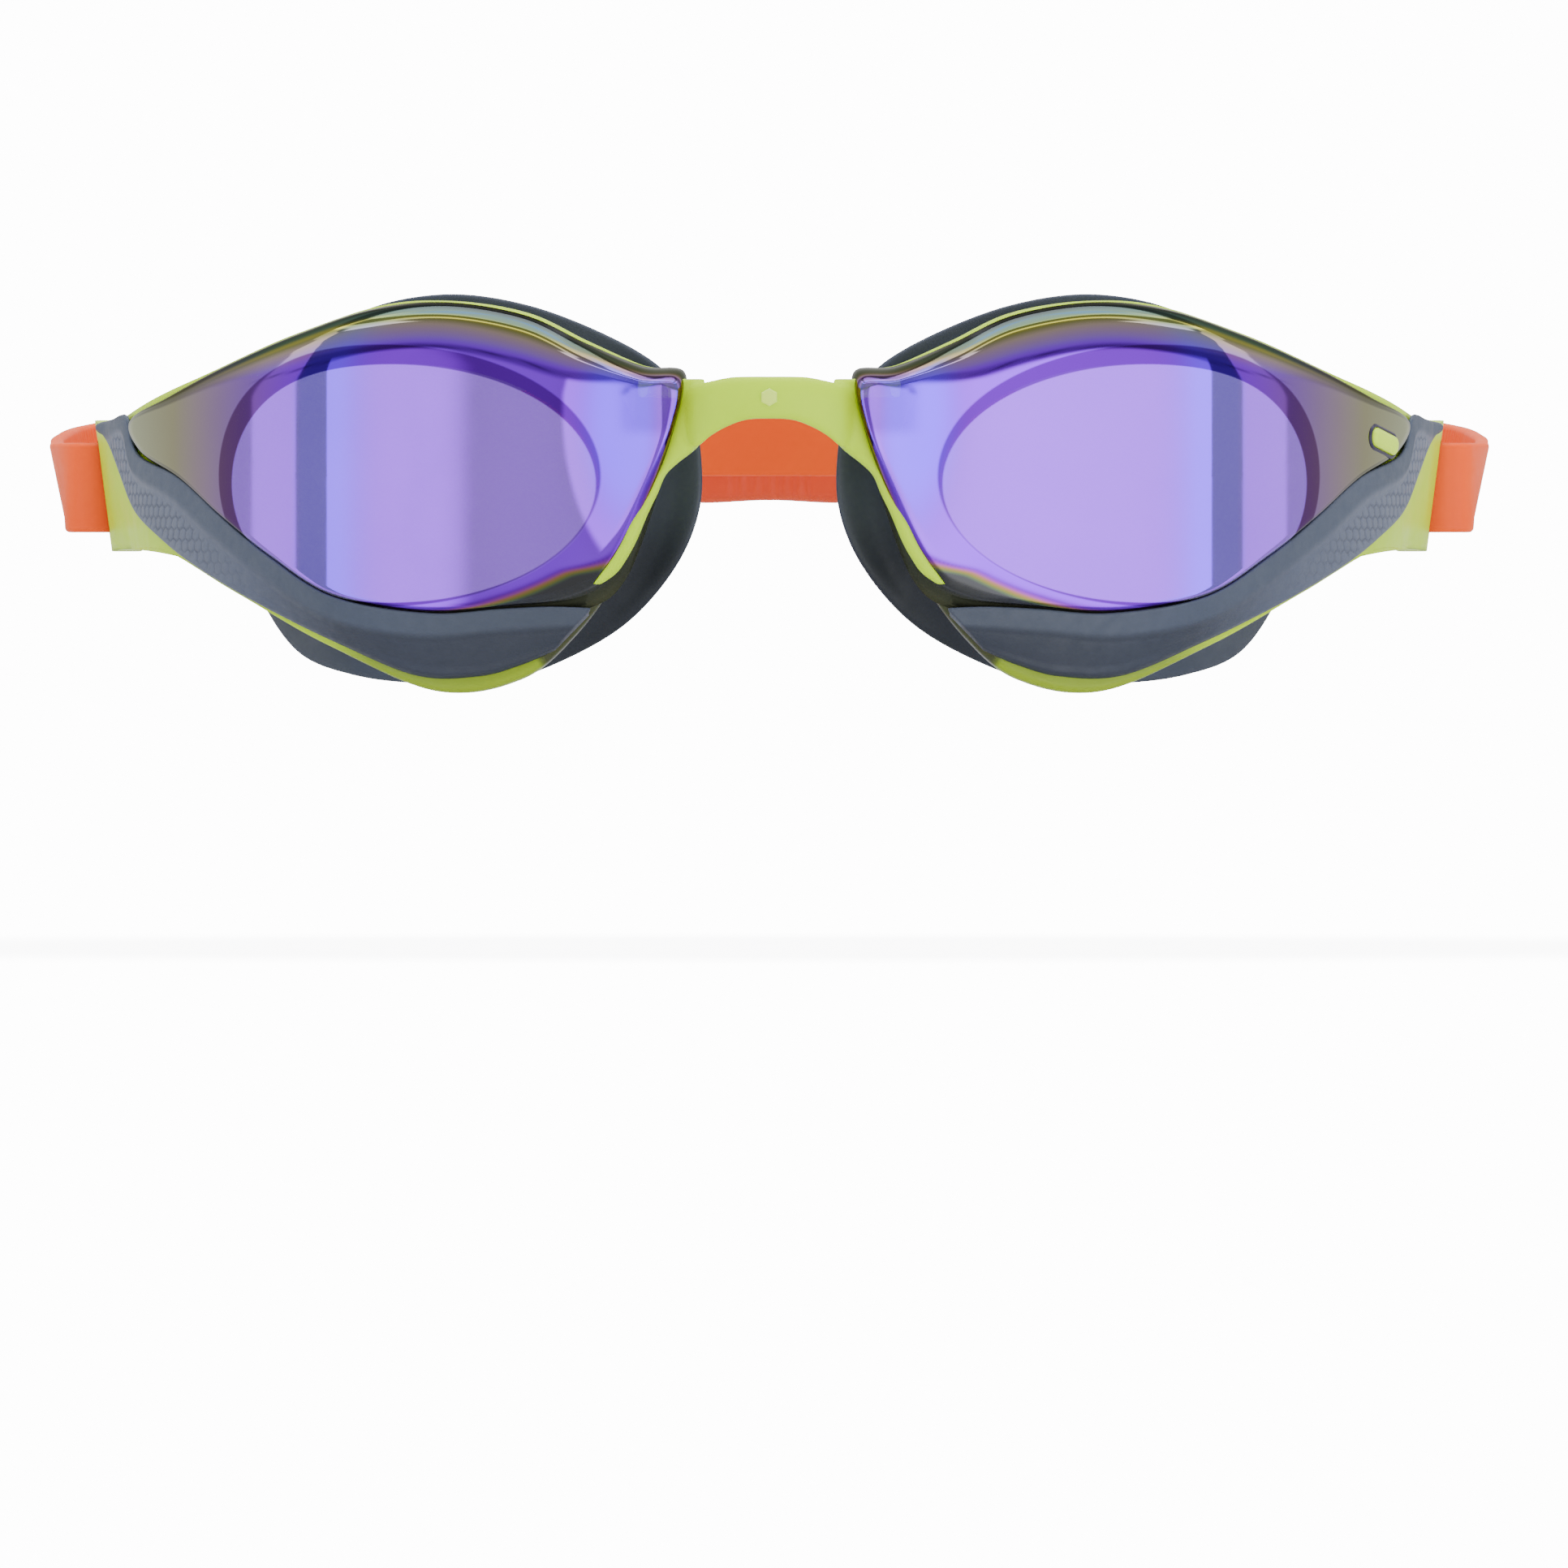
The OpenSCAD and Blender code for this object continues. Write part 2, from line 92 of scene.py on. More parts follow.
def open_curve(p, n):
    return catmull(p, np.linspace(0, len(p) - 1, n), False)


def even_curve(p, step):
    """The open spline through p, resampled at even steps of length."""
    q = open_curve(p, 40 * len(p))
    d = np.concatenate([[0], np.cumsum(np.linalg.norm(np.diff(q, axis=0), axis=1))])
    s = np.linspace(0, d[-1], int(d[-1] / step) + 1)
    return np.stack([np.interp(s, d, q[:, i]) for i in range(q.shape[1])], 1), s


def rim_tables():
    """The rim's curve in plan, with its curvature eased where the arcs meet."""
    step = 0.05
    s = np.arange(-12, 130, step)
    k = np.select([s < 0, s < 18, s < 58, s < 102], [0, 1 / 88, 1 / 52, 1 / 74], 0)
    w = int(14 / step)
    k = np.convolve(np.pad(k, w, mode="edge"), np.ones(w) / w, "same")[w:-w]
    a = np.cumsum(k) * step
    a -= np.interp(0, s, a) - np.interp(3.5, s, a) * 0.25
    x = np.cumsum(np.cos(a)) * step
    y = np.cumsum(np.sin(a)) * step
    return s, a, x - np.interp(0, s, x) + 13, y - np.interp(0, s, y) + 10


RIM_S, RIM_A, RIM_X, RIM_Y = rim_tables()


def rim_angle(s):
    return np.interp(s, RIM_S, RIM_A)


def wrap(s, z, n):
    """A place along the rim's curve, up, and out from it."""
    a = rim_angle(s)
    d = n + 0.13 * (z - 30) * ramp(62, 95, s)
    x = np.interp(s, RIM_S, RIM_X) + d * np.sin(a)
    y = np.interp(s, RIM_S, RIM_Y) - d * np.cos(a) - MID_Y
    return np.stack([x, y, z + 0 * x], -1)


def in_space(p):
    return np.asarray(p, float) - [0, MID_Y, 0]


# ---------------------------------------------------------------- meshes

LENS_OUTLINE = [
    [-2.6, 31.5], [-3.3, 36.9], [1.5, 37.6], [8, 40.2], [15, 43.4], [24, 44.9],
    [33, 44.3], [43, 41.6], [55, 38], [69, 34.1], [80.8, 31.2], [77.5, 27.6],
    [66, 24.5], [56, 20.1], [46, 15.2], [36.5, 10.6], [26, 8.8], [16, 9.4],
    [8, 9.7], [3.4, 13.2], [-0.4, 23.4]]
FACE_OUTLINE = [
    [-1.8, 30.8], [-2.3, 35.4], [2, 36], [8.6, 38], [15.6, 40.6], [24, 42.2],
    [32.6, 41.7], [42, 39.2], [54, 36.2], [67.6, 33.1], [78.4, 31], [75.6, 28.2],
    [65.2, 25.3], [55.6, 21], [45.6, 16.1], [36.2, 11.6], [26, 9.9], [16.4, 10.6],
    [9.8, 12.6], [5.6, 15.6], [1, 24.4]]
FRAME_OUTLINE = [
    [-1.8, 31.5], [-2.4, 36.8], [1.8, 38], [8, 40.7], [15, 43.9], [24, 45.3],
    [33, 44.8], [45, 41.6], [64, 36.2], [90, 31], [110.4, 30.4], [111.2, 17.4],
    [92, 16.4], [72, 16.4], [55, 11.5], [40, 5.4], [26, 0.2], [16, 1.5],
    [9.6, 6.4], [4.2, 13.8], [-0.1, 24]]
HOLE_OUTLINE = [
    [2.1, 28.5], [3.4, 33], [6, 36.6], [10, 39.6], [16, 42], [23, 43],
    [31, 42.3], [38.5, 39.6], [45.5, 35.8], [51.5, 31.2], [55.8, 26.6], [56, 21.5],
    [52.6, 16.6], [47.6, 12.4], [41.5, 8.6], [34.5, 5.2], [26, 3.2], [17.5, 4.2],
    [10.5, 8.2], [5.2, 14.4], [2.6, 21.5]]
GASKET_NECK = [
    [14.3, 16.6, 28.5], [15.4, 16.7, 32.6], [18.2, 16.9, 36], [22.4, 17.3, 38.9],
    [28.6, 18.1, 41.3], [35.4, 19.3, 42.2], [42.6, 21.6, 41.2], [48.6, 25, 38],
    [53.6, 29.4, 34.2], [57, 34, 30.2], [59, 38.6, 26], [59, 39.6, 20.5],
    [56.6, 37.8, 15], [52.6, 34, 10.4], [47.4, 29.6, 7], [41, 25.6, 4.8],
    [33.4, 22.6, 3.9], [26.4, 20.8, 5.6], [21, 19.4, 9.4], [16.8, 17.8, 14.6],
    [14.7, 16.9, 21.5]]
GASKET_LIP = [
    [8.2, 18.7, 28.5], [9.4, 19.2, 33], [13, 20, 37.6], [19.6, 20, 41.4],
    [28, 20.7, 44.5], [36.6, 22.2, 45.7], [45, 25.2, 44.4], [51.4, 29.8, 41],
    [56.2, 35.1, 36.4], [59.6, 41.2, 30.6], [61.5, 47.4, 25], [61.2, 49.3, 18.6],
    [59, 46.8, 11.6], [54.4, 40.2, 4.9], [48, 33.4, 2.2], [40, 29, 1.2],
    [31, 26.6, 1.4], [23.2, 24.4, 4.1], [16.2, 22, 8.4], [10.8, 19.8, 14.8],
    [8.2, 18.6, 21.5]]
PANEL_TOP = [
    [95.5, 30.5], [88, 31.1], [81.4, 31.4], [78.6, 27.2], [66.2, 23.9], [56.2, 19.5],
    [46.2, 14.6], [36.6, 10], [26, 8.2], [18, 8.7], [12.5, 9], [7.6, 9]]
PANEL_LOW = [
    [94.6, 29.6], [90.6, 27.6], [86.8, 24.8], [80.6, 20.6], [70.8, 17.4], [58, 13],
    [47.5, 9.2], [38, 5.6], [28, 2], [20.6, 1.9], [15.6, 3.2], [11.6, 4.9]]
ARCH = [
    [0, 1.45, 33.95, 1.15, 2.45], [2.5, 1.55, 33.9, 1.15, 2.5], [4.6, 1.95, 33.5, 1.15, 2.8],
    [6.6, 2.5, 32.75, 1.15, 3.15], [8.3, 3.4, 31.9, 1.15, 3.65], [9.5, 4.2, 31.9, 1.05, 3.4]]
LEG = [
    [9.3, 4.3, 34.8, 1, 1.1], [9.25, 4.4, 33, 1.1, 1.3],
    [9.3, 4.55, 30.2, 1.2, 2.3], [10.2, 4.8, 28.2, 1.25, 1.95],
    [11.6, 5.1, 26.4, 1.25, 1.1], [12.6, 5.3, 25, 1.25, 0.7], [13.5, 5.6, 23, 1.2, 0.75],
    [14.75, 5.9, 20.6, 1.15, 0.85], [16.1, 6.1, 17.4, 1.05, 0.85], [17.5, 6.4, 15, 0.95, 0.9],
    [18.5, 6.65, 13.7, 0.85, 0.9], [19.8, 6.9, 12.5, 0.6, 0.5]]
LOOP_OUT = [[76.1, 76.2], [78.6, 76.2], [80.7, 77.6], [81.6, 82.2], [82, 90]]
LOOP_IN = [[76.1, 76.2], [73.6, 76.2], [70.8, 77.6], [68.2, 82.2], [67, 90]]
OUTER_BACK = [[82, 97], [81.8, 103], [79.6, 117], [73.6, 130.5], [62.9, 142], [49, 150.4]]
INNER_BACK = [[66.9, 96], [66.4, 101], [63.6, 112.5], [57.6, 123.8], [48, 133.8],
              [35, 141.4], [20, 145.4], [0, 146.6]]
LAP_Y = 157
LAP_X = 21


def new_object(name, points, faces, smooth=True):
    mesh = bpy.data.meshes.new(name)
    mesh.from_pydata((np.asarray(points, float).reshape(-1, 3) * MM).tolist(), [], faces)
    mesh.update()
    if smooth:
        mesh.polygons.foreach_set("use_smooth", [True] * len(mesh.polygons))
    obj = bpy.data.objects.new(name, mesh)
    bpy.context.scene.collection.objects.link(obj)
    return obj


def grid_faces(m, n, close_m, close_n, flip=False):
    j, i = np.meshgrid(np.arange(m if close_m else m - 1), np.arange(n if close_n else n - 1), indexing="ij")
    j, i = j.ravel(), i.ravel()
    k, l = (j + 1) % m, (i + 1) % n
    quads = np.stack([j * n + i, j * n + l, k * n + l, k * n + i], 1)
    return (quads[:, ::-1] if flip else quads).tolist()


def outward(obj):
    """Turns every face of a closed piece outward."""
    import bmesh
    bm = bmesh.new()
    bm.from_mesh(obj.data)
    bmesh.ops.recalc_face_normals(bm, faces=bm.faces)
    bm.to_mesh(obj.data)
    bm.free()
    return obj


def loft(name, rings, ring_closed=False, caps=False):
    """A skin over rings of points. ring_closed joins the last ring to the first."""
    rings = np.asarray(rings)
    m, n = rings.shape[:2]
    faces = grid_faces(m, n, ring_closed, True)
    if caps:
        faces.append(list(range(n))[::-1])
        faces.append([(m - 1) * n + i for i in range(n)])
    return outward(new_object(name, rings, faces))


def side_of(points, side):
    return np.asarray(points) * [side, 1, 1]


def paint(obj, name, colours):
    layer = obj.data.attributes.new(name, "FLOAT_COLOR", "POINT")
    rgba = np.ones((len(obj.data.vertices), 4))
    rgba[:, :colours.shape[-1]] = colours.reshape(-1, colours.shape[-1])
    layer.data.foreach_set("color", rgba.ravel())


def applied(obj):
    """Replaces the object's mesh by its evaluated one and clears its modifiers."""
    depsgraph = bpy.context.evaluated_depsgraph_get()
    mesh = bpy.data.meshes.new_from_object(obj.evaluated_get(depsgraph))
    obj.modifiers.clear()
    old = obj.data
    obj.data = mesh
    mesh.name = old.name
    return obj


# ---------------------------------------------------------------- materials

VIOLET = (0.23, 0.024, 0.85)
WINDOW_VIOLET = (0.235, 0.025, 0.78)
RING_SHADE = (0.38, 0.2, 0.36)


def node_material(name):
    mat = bpy.data.materials.new(name)
    mat.use_nodes = True
    tree = mat.node_tree
    return mat, tree, tree.nodes["Principled BSDF"]


def noise(tree, scale, detail=3.0, rough=0.5):
    coord = tree.nodes.new("ShaderNodeTexCoord")
    node = tree.nodes.new("ShaderNodeTexNoise")
    node.inputs["Scale"].default_value = scale
    node.inputs["Detail"].default_value = detail
    node.inputs["Roughness"].default_value = rough
    tree.links.new(coord.outputs["Object"], node.inputs["Vector"])
    return node


def spread(tree, source, low, high):
    node = tree.nodes.new("ShaderNodeMapRange")
    node.inputs["From Min"].default_value = 0.3
    node.inputs["From Max"].default_value = 0.7
    node.inputs["To Min"].default_value = low
    node.inputs["To Max"].default_value = high
    tree.links.new(source, node.inputs["Value"])
    return node.outputs["Result"]


def mixed(tree, factor, a, b):
    node = tree.nodes.new("ShaderNodeMix")
    node.data_type = "RGBA"
    tree.links.new(factor, node.inputs[0])
    for socket, value in ((node.inputs[6], a), (node.inputs[7], b)):
        if hasattr(value, "links"):
            tree.links.new(value, socket)
        else:
            socket.default_value = (*value, 1)
    return node.outputs[2]


def bumped(tree, shader, height, strength, distance):
    node = tree.nodes.new("ShaderNodeBump")
    node.inputs["Strength"].default_value = strength
    node.inputs["Distance"].default_value = distance
    tree.links.new(height, node.inputs["Height"])
    tree.links.new(node.outputs["Normal"], shader.inputs["Normal"])


def moulded(name, low, high, rough=(0.3, 0.4), cloud=60, grain=2500, depth=0.00002, soft=0.0, gloss=0.35):
    """A moulded plastic or silicone: a slow colour drift, uneven gloss and a fine skin."""
    mat, tree, shader = node_material(name)
    drift = noise(tree, cloud, 4)
    tone = mixed(tree, spread(tree, drift.outputs["Fac"], 0, 1), low, high)
    tree.links.new(tone, shader.inputs["Base Color"])
    patch = noise(tree, cloud * 6, 2)
    tree.links.new(spread(tree, patch.outputs["Fac"], *rough), shader.inputs["Roughness"])
    bumped(tree, shader, noise(tree, grain, 2).outputs["Fac"], 0.35, depth)
    shader.inputs["Subsurface Weight"].default_value = soft
    shader.inputs["Subsurface Radius"].default_value = (1.0, 0.7, 0.3)
    shader.inputs["Subsurface Scale"].default_value = 0.0025
    shader.inputs["Specular IOR Level"].default_value = gloss
    return mat


def colour_layer(tree, name):
    node = tree.nodes.new("ShaderNodeVertexColor")
    node.layer_name = name
    return node.outputs["Color"]


def multiplied(tree, colour, factor, by):
    node = tree.nodes.new("ShaderNodeMix")
    node.data_type = "RGBA"
    node.blend_type = "MULTIPLY"
    if hasattr(factor, "links"):
        tree.links.new(factor, node.inputs[0])
    else:
        node.inputs[0].default_value = factor
    tree.links.new(colour, node.inputs[6])
    node.inputs[7].default_value = (*by, 1)
    return node.outputs[2]


def computed(tree, operation, a, b=0.0):
    node = tree.nodes.new("ShaderNodeMath")
    node.operation = operation
    for socket, value in zip(node.inputs, (a, b)):
        if hasattr(value, "links"):
            tree.links.new(value, socket)
        else:
            socket.default_value = value
    return node.outputs[0]


def eased(tree, value, low, high, start=0.0, end=1.0):
    node = tree.nodes.new("ShaderNodeMapRange")
    node.interpolation_type = "SMOOTHSTEP"
    tree.links.new(value, node.inputs["Value"])
    for key, number in (("From Min", low), ("From Max", high), ("To Min", start), ("To Max", end)):
        node.inputs[key].default_value = number
    return node.outputs["Result"]


def oval(tree, place, s, z, half_s, half_z):
    """Squared distance from an oval's middle, 1 on its outline."""
    parts = []
    for output, middle, half in ((place.outputs[0], s, half_s), (place.outputs[1], z, half_z)):
        away = computed(tree, "DIVIDE", computed(tree, "SUBTRACT", output, middle / 100), half / 100)
        parts.append(computed(tree, "MULTIPLY", away, away))
    return computed(tree, "ADD", *parts)


def lens_mirror():
    """A mirror coat tinted by place and ringed at the oval eye window, with a pale veil of painted light
    over the window and dull dark olive painted shade at its lower edge.
    """
    mat, tree, shader = node_material("violet_mirror_coat")
    place = tree.nodes.new("ShaderNodeSeparateColor")
    tree.links.new(colour_layer(tree, "place"), place.inputs[0])
    radius = oval(tree, place, *WINDOW)
    window = eased(tree, radius, 0.985, 1.01, 1.0, 0.0)
    band = eased(tree, oval(tree, place, *BAND), 0.98, 1.01, 1.0, 0.0)
    drift = spread(tree, noise(tree, 45, 3).outputs["Fac"], 0, 1)
    tint = multiplied(tree, colour_layer(tree, "tint"), drift, (0.93, 0.9, 0.97))
    violet = mixed(tree, drift, WINDOW_VIOLET, (0.215, 0.022, 0.74))
    ringed = mixed(tree, band, tint, multiplied(tree, tint, 1.0, RING_SHADE))
    tree.links.new(mixed(tree, window, ringed, violet), shader.inputs["Base Color"])
    denser = computed(tree, "MULTIPLY", window, 0.03)
    tree.links.new(computed(tree, "ADD", place.outputs[2], denser), shader.inputs["Alpha"])
    haze = noise(tree, 300, 2)
    tree.links.new(spread(tree, haze.outputs["Fac"], 0.05, 0.08), shader.inputs["Roughness"])
    shader.inputs["Metallic"].default_value = 1.0
    inner = eased(tree, place.outputs[2], 0.925, 0.965)
    tree.links.new(mixed(tree, inner, (0.4, 0.4, 0.36), (1, 1, 1)), shader.inputs["Specular Tint"])
    # Painted light: a pale diffuse veil over the eye window stands in for the backdrop seen through the
    # lens.
    veil = tree.nodes.new("ShaderNodeBsdfDiffuse")
    backlight_tone = mixed(tree, drift, (0.8, 0.76, 0.8), (0.74, 0.7, 0.75))
    # Painted shade: dull dark olive at the lower edge by the nose, for the dim gap seen through the tinted
    # edge.
    matt_shade = colour_layer(tree, "matt_shade")
    tone = mixed(tree, eased(tree, matt_shade, 0.0, 0.1), backlight_tone, (0.036, 0.038, 0.021))
    tree.links.new(tone, veil.inputs["Color"])
    coat = tree.nodes.new("ShaderNodeMixShader")
    backlight_veil = computed(tree, "MULTIPLY", window, 0.1)
    tree.links.new(computed(tree, "MAXIMUM", backlight_veil, matt_shade), coat.inputs[0])
    tree.links.new(shader.outputs[0], coat.inputs[1])
    tree.links.new(veil.outputs[0], coat.inputs[2])
    tree.links.new(coat.outputs[0], tree.nodes["Material Output"].inputs["Surface"])
    return mat


def lens_inside():
    mat, tree, shader = node_material("tinted_lens_inside")
    drift = noise(tree, 80, 3)
    tree.links.new(
        mixed(tree, spread(tree, drift.outputs["Fac"], 0, 1), (0.16, 0.13, 0.34), (0.2, 0.16, 0.4)),
        shader.inputs["Base Color"])
    patch = noise(tree, 400, 2)
    tree.links.new(spread(tree, patch.outputs["Fac"], 0.08, 0.16), shader.inputs["Roughness"])
    shader.inputs["Alpha"].default_value = 0.35
    return mat


MATERIALS = {
    "lens": lens_mirror(),
    "inside": lens_inside(),
    "bridge": moulded("lime_bridge", (0.47, 0.7, 0.0), (0.51, 0.75, 0.0), (0.36, 0.46),
                      soft=0.1, gloss=0.15),
    "button": moulded("pale_button", (0.62, 0.8, 0.06), (0.66, 0.84, 0.08), (0.34, 0.44)),
    "badge": moulded("lime_badge", (0.6, 0.86, 0.01), (0.66, 0.9, 0.02), (0.24, 0.32)),
    "ring": moulded("dark_carrier", (0.02, 0.014, 0.035), (0.03, 0.02, 0.05), (0.25, 0.35)),
    "strap": moulded("orange_silicone", (0.96, 0.085, 0.0), (0.98, 0.1, 0.002), (0.42, 0.52),
                     soft=0.1, gloss=0.15),
    "clip": moulded("clip_plastic", (0.72, 0.06, 0.004), (0.78, 0.075, 0.006), (0.35, 0.5)),
}


def panel_material():
    mat, tree, shader = node_material("grey_grip")
    drift = spread(tree, noise(tree, 90, 4).outputs["Fac"], 0, 1)
    tone = multiplied(tree, colour_layer(tree, "tint"), drift, (0.88, 0.89, 0.9))
    tree.links.new(tone, shader.inputs["Base Color"])
    patch = noise(tree, 700, 2)
    tree.links.new(spread(tree, patch.outputs["Fac"], 0.5, 0.62), shader.inputs["Roughness"])
    bumped(tree, shader, noise(tree, 3200, 3).outputs["Fac"], 0.5, 0.00003)
    return mat


def with_painted_shade(mat, dark):
    """Darkens a moulded material where its piece is painted with shade."""
    tree = mat.node_tree
    shader = tree.nodes["Principled BSDF"]
    plain = shader.inputs["Base Color"].links[0].from_socket
    tree.links.new(mixed(tree, colour_layer(tree, "painted_shade"), plain, dark), shader.inputs["Base Color"])
    return mat


MATERIALS["panel"] = panel_material()
# The rim and the gasket are darkened by their painted shade near the nose.
MATERIALS["rim"] = with_painted_shade(
    moulded("lime_plastic", (0.48, 0.69, 0.0), (0.52, 0.73, 0.001), (0.3, 0.4), soft=0.1, gloss=0.2),
    (0.05, 0.055, 0.015))
MATERIALS["gasket"] = with_painted_shade(
    moulded("slate_silicone", (0.034, 0.040, 0.049), (0.043, 0.050, 0.060), (0.42, 0.56)),
    (0.008, 0.01, 0.011))


def dress(obj, *names):
    for name in names:
        obj.data.materials.append(MATERIALS[name])
    return obj


# ---------------------------------------------------------------- lens

LENS_STEPS = [
    [0, 1, 0], [0.15, 1, 0.45], [0.45, 1, 0.78], [0.8, 1, 0.94], [1, 0.975, 1],
    [1, 0.86, 1], [1, 0.6, 1], [1, 0.3, 1], [1, 0.01, 1]]


def lens_n(s, z):
    return (1.2 + 2.1 * (1 - ramp(42, 66, s)) + 1.5 * np.exp(-((s - 36) / 8) ** 2)
            + 5.6 * np.exp(-((s + 2) / 7.2) ** 2) * (0.3 + 0.7 * ramp(12, 32, z)))


def lens_rows(n, rows, depth):
    outline = closed_curve(LENS_OUTLINE, n)
    face = closed_curve(FACE_OUTLINE, n)
    steps = open_curve(LENS_STEPS, rows)
    rings, sz, edge = [], [], []
    for way, size, rise in steps:
        p = lerp(outline, face, min(1, way))
        r = np.linalg.norm(p - EYE, axis=1, keepdims=True)
        q = EYE + (p - EYE) * size * (r - depth) / r
        h = lens_n(q[:, 0], q[:, 1]) - depth
        brow = ramp(0.15, 0.75, (p[:, 1] - EYE[1]) / r[:, 0])
        h = h - 0.55 * np.clip((size - 0.8) / 0.2, 0, 1) ** 2 * brow
        rings.append(wrap(q[:, 0], q[:, 1], np.maximum(0.1, 0.1 + (h - 0.1) * min(1, rise))))
        sz.append(q)
        edge.append(np.stack([min(1, way) * 2.8 + (1 - size) * r[:, 0], brow], 1))
    return np.array(rings), np.array(sz), np.array(edge)


def colour_stops(x, stops):
    places = [p for p, _ in stops]
    return np.stack([np.interp(x, places, [c[i] for _, c in stops]) for i in range(3)], -1)


def lens_tint(sz, edge):
    """Mirror colour by place: violet in front, olive round the temple, bands along the edge."""
    face = colour_stops(sz[..., 0], [
        (2, (0.26, 0.05, 0.85)), (12, VIOLET), (42, VIOLET), (49, (0.24, 0.11, 0.5)),
        (55, (0.27, 0.17, 0.35)), (60, (0.29, 0.22, 0.26)), (66, (0.31, 0.30, 0.17)),
        (77, (0.35, 0.38, 0.21))])
    gap, brow = edge[..., 0], edge[..., 1]
    top = colour_stops(gap, [
        (0, (0.03, 0.035, 0.03)), (0.2, (0.07, 0.07, 0.08)), (0.5, (0.065, 0.08, 0.082)),
        (0.9, (0.08, 0.125, 0.11)), (1.25, (0.085, 0.13, 0.085)), (1.5, (0.2, 0.22, 0.05)),
        (1.75, (0.28, 0.26, 0.04)), (2.0, (0.2, 0.2, 0.06)), (2.6, (0.36, 0.28, 0.24)),
        (3.5, (0.31, 0.2, 0.42)), (4.6, (0.25, 0.1, 0.75)), (5.2, VIOLET)])
    down = (EYE[1] - sz[..., 1]) / np.maximum(np.linalg.norm(sz - EYE, axis=-1), 1e-6)
    wall = 0.5 + 3.0 * ramp(27, 9, sz[..., 0]) * ramp(0.28, 0.46, down)
    low = colour_stops(gap - wall, [
        (-3.3, (0.1, 0.105, 0.055)), (-2.2, (0.05, 0.052, 0.045)), (-0.2, (0.05, 0.052, 0.056)),
        (0.1, (0.07, 0.1, 0.06)), (0.45, (0.15, 0.15, 0.035)), (0.85, (0.26, 0.12, 0.08)),
        (1.2, (0.22, 0.04, 0.3)), (1.6, (0.12, 0.008, 0.36)), (2.6, VIOLET)])
    low = lerp(low, face * 0.4, ramp(40, 50, sz[..., 0])[..., None])
    rim = lerp(low, top, brow[..., None])
    reach = lerp(wall + 2.6, 5.2, brow)
    tint = lerp(rim, face, ramp(0.75, 1.0, gap / reach)[..., None])
    line = 0.55 * np.exp(-((gap - 5.25) / 0.13) ** 2) * ramp(0.5, 0.9, brow) * ramp(52, 44, sz[..., 0])
    skirt = 1.5 * (1 - ramp(0.2, 1.0, gap)) * (1 - brow)
    return tint * ((1 - line) * (1 + skirt))[..., None]


def make_lens(side, name):
    n, rows = 360, 100
    outer, sz, edge = lens_rows(n, rows, 0)
    inner, _, _ = lens_rows(n, rows, 1.6)
    points = side_of(np.concatenate([outer, inner[::-1]]), side)
    faces = [f for f in grid_faces(2 * rows, n, True, True) if min(f) // n != rows - 1]
    faces.append([(rows - 1) * n + i for i in range(n)])
    faces.append([rows * n + i for i in range(n)][::-1])
    obj = outward(new_object(name, points, faces))
    tint = lens_tint(sz, edge)
    cover = lerp(0.92, 0.97, ramp(0.5, 2.6, edge[..., 0]))
    corner = (1 - ramp(1.5, 5, sz[..., 0])) * ramp(29, 31, sz[..., 1]) * ramp(1.7, 2.3, edge[..., 0])
    cover = lerp(cover, 0.66, corner)
    place = np.concatenate([sz / 100, cover[..., None]], -1)
    # Painted shade: the lower edge by the nose turns dull dark olive, for the dim gap seen through it.
    matt_shade = 0.85 * ramp(1.7, 0.9, edge[..., 0]) * (1 - edge[..., 1]) * ramp(42, 32, sz[..., 0])
    for layer, value in (("tint", tint), ("place", place), ("matt_shade", np.repeat(matt_shade[..., None], 3, -1))):
        paint(obj, layer, np.concatenate([value, value[::-1]]))
    dress(obj, "lens", "inside")
    inside = set(range(rows * n, 2 * rows * n))
    for poly in obj.data.polygons:
        poly.material_index = 1 if all(v in inside for v in poly.vertices) else 0
    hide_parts(name_of("lens", side))
    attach(obj, "front_frame")
    return obj


def name_of(node, side):
    return f"{node}_{'right' if side > 0 else 'left'}"


# ---------------------------------------------------------------- rim, ring, gasket, panel


def make_frame(side, name):
    n = 300
    hole, out = closed_curve(HOLE_OUTLINE, n), closed_curve(FRAME_OUTLINE, n)
    out[:, 1] -= 0.25 * ramp(33, 38, out[:, 1])
    way = (out - hole) / np.linalg.norm(out - hole, axis=1, keepdims=True)

    def ring(share, inset, front, sunk):
        p = lerp(hole + way * 0.4, out - way * 0.8, share) + way * inset
        level = 1.4 * ramp(91, 99, p[:, 0]) if front else -3 + ramp(60, 104, p[:, 0])
        return wrap(p[:, 0], p[:, 1], level + (-sunk if front else sunk))

    turn = np.radians([0, 30, 60, 90])
    rings = []
    for front in (True, False):
        part = [ring(0, -0.4 * math.cos(t), front, 0.4 * (1 - math.sin(t))) for t in turn]
        part += [ring(t, 0, front, 0) for t in np.linspace(0.1, 0.9, 9)]
        part += [ring(1, 0.8 * math.cos(t), front, 0.8 * (1 - math.sin(t))) for t in turn[::-1]]
        rings += part if front else part[::-1]
    obj = loft(name, side_of(rings, side), ring_closed=True)
    # Painted shade: darker at the low corner by the nose, and along the bottom edge toward the nose.
    painted_shade = ramp(14.2, 12.6, out[:, 0]) * ramp(20, 16, out[:, 1])
    painted_shade = np.maximum(painted_shade, 0.55 * ramp(7, 3, out[:, 1]) * ramp(50, 42, out[:, 0]))
    paint(obj, "painted_shade", np.tile(painted_shade[:, None], (len(rings), 3)))
    cutter = slot_cutter(side)
    cut = obj.modifiers.new("window", "BOOLEAN")
    cut.operation, cut.solver, cut.object = "DIFFERENCE", "EXACT", cutter
    applied(obj)
    bpy.data.objects.remove(cutter, do_unlink=True)
    dress(obj, "rim")
    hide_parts(name_of("frame", side))
    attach(obj, "front_frame")
    return obj


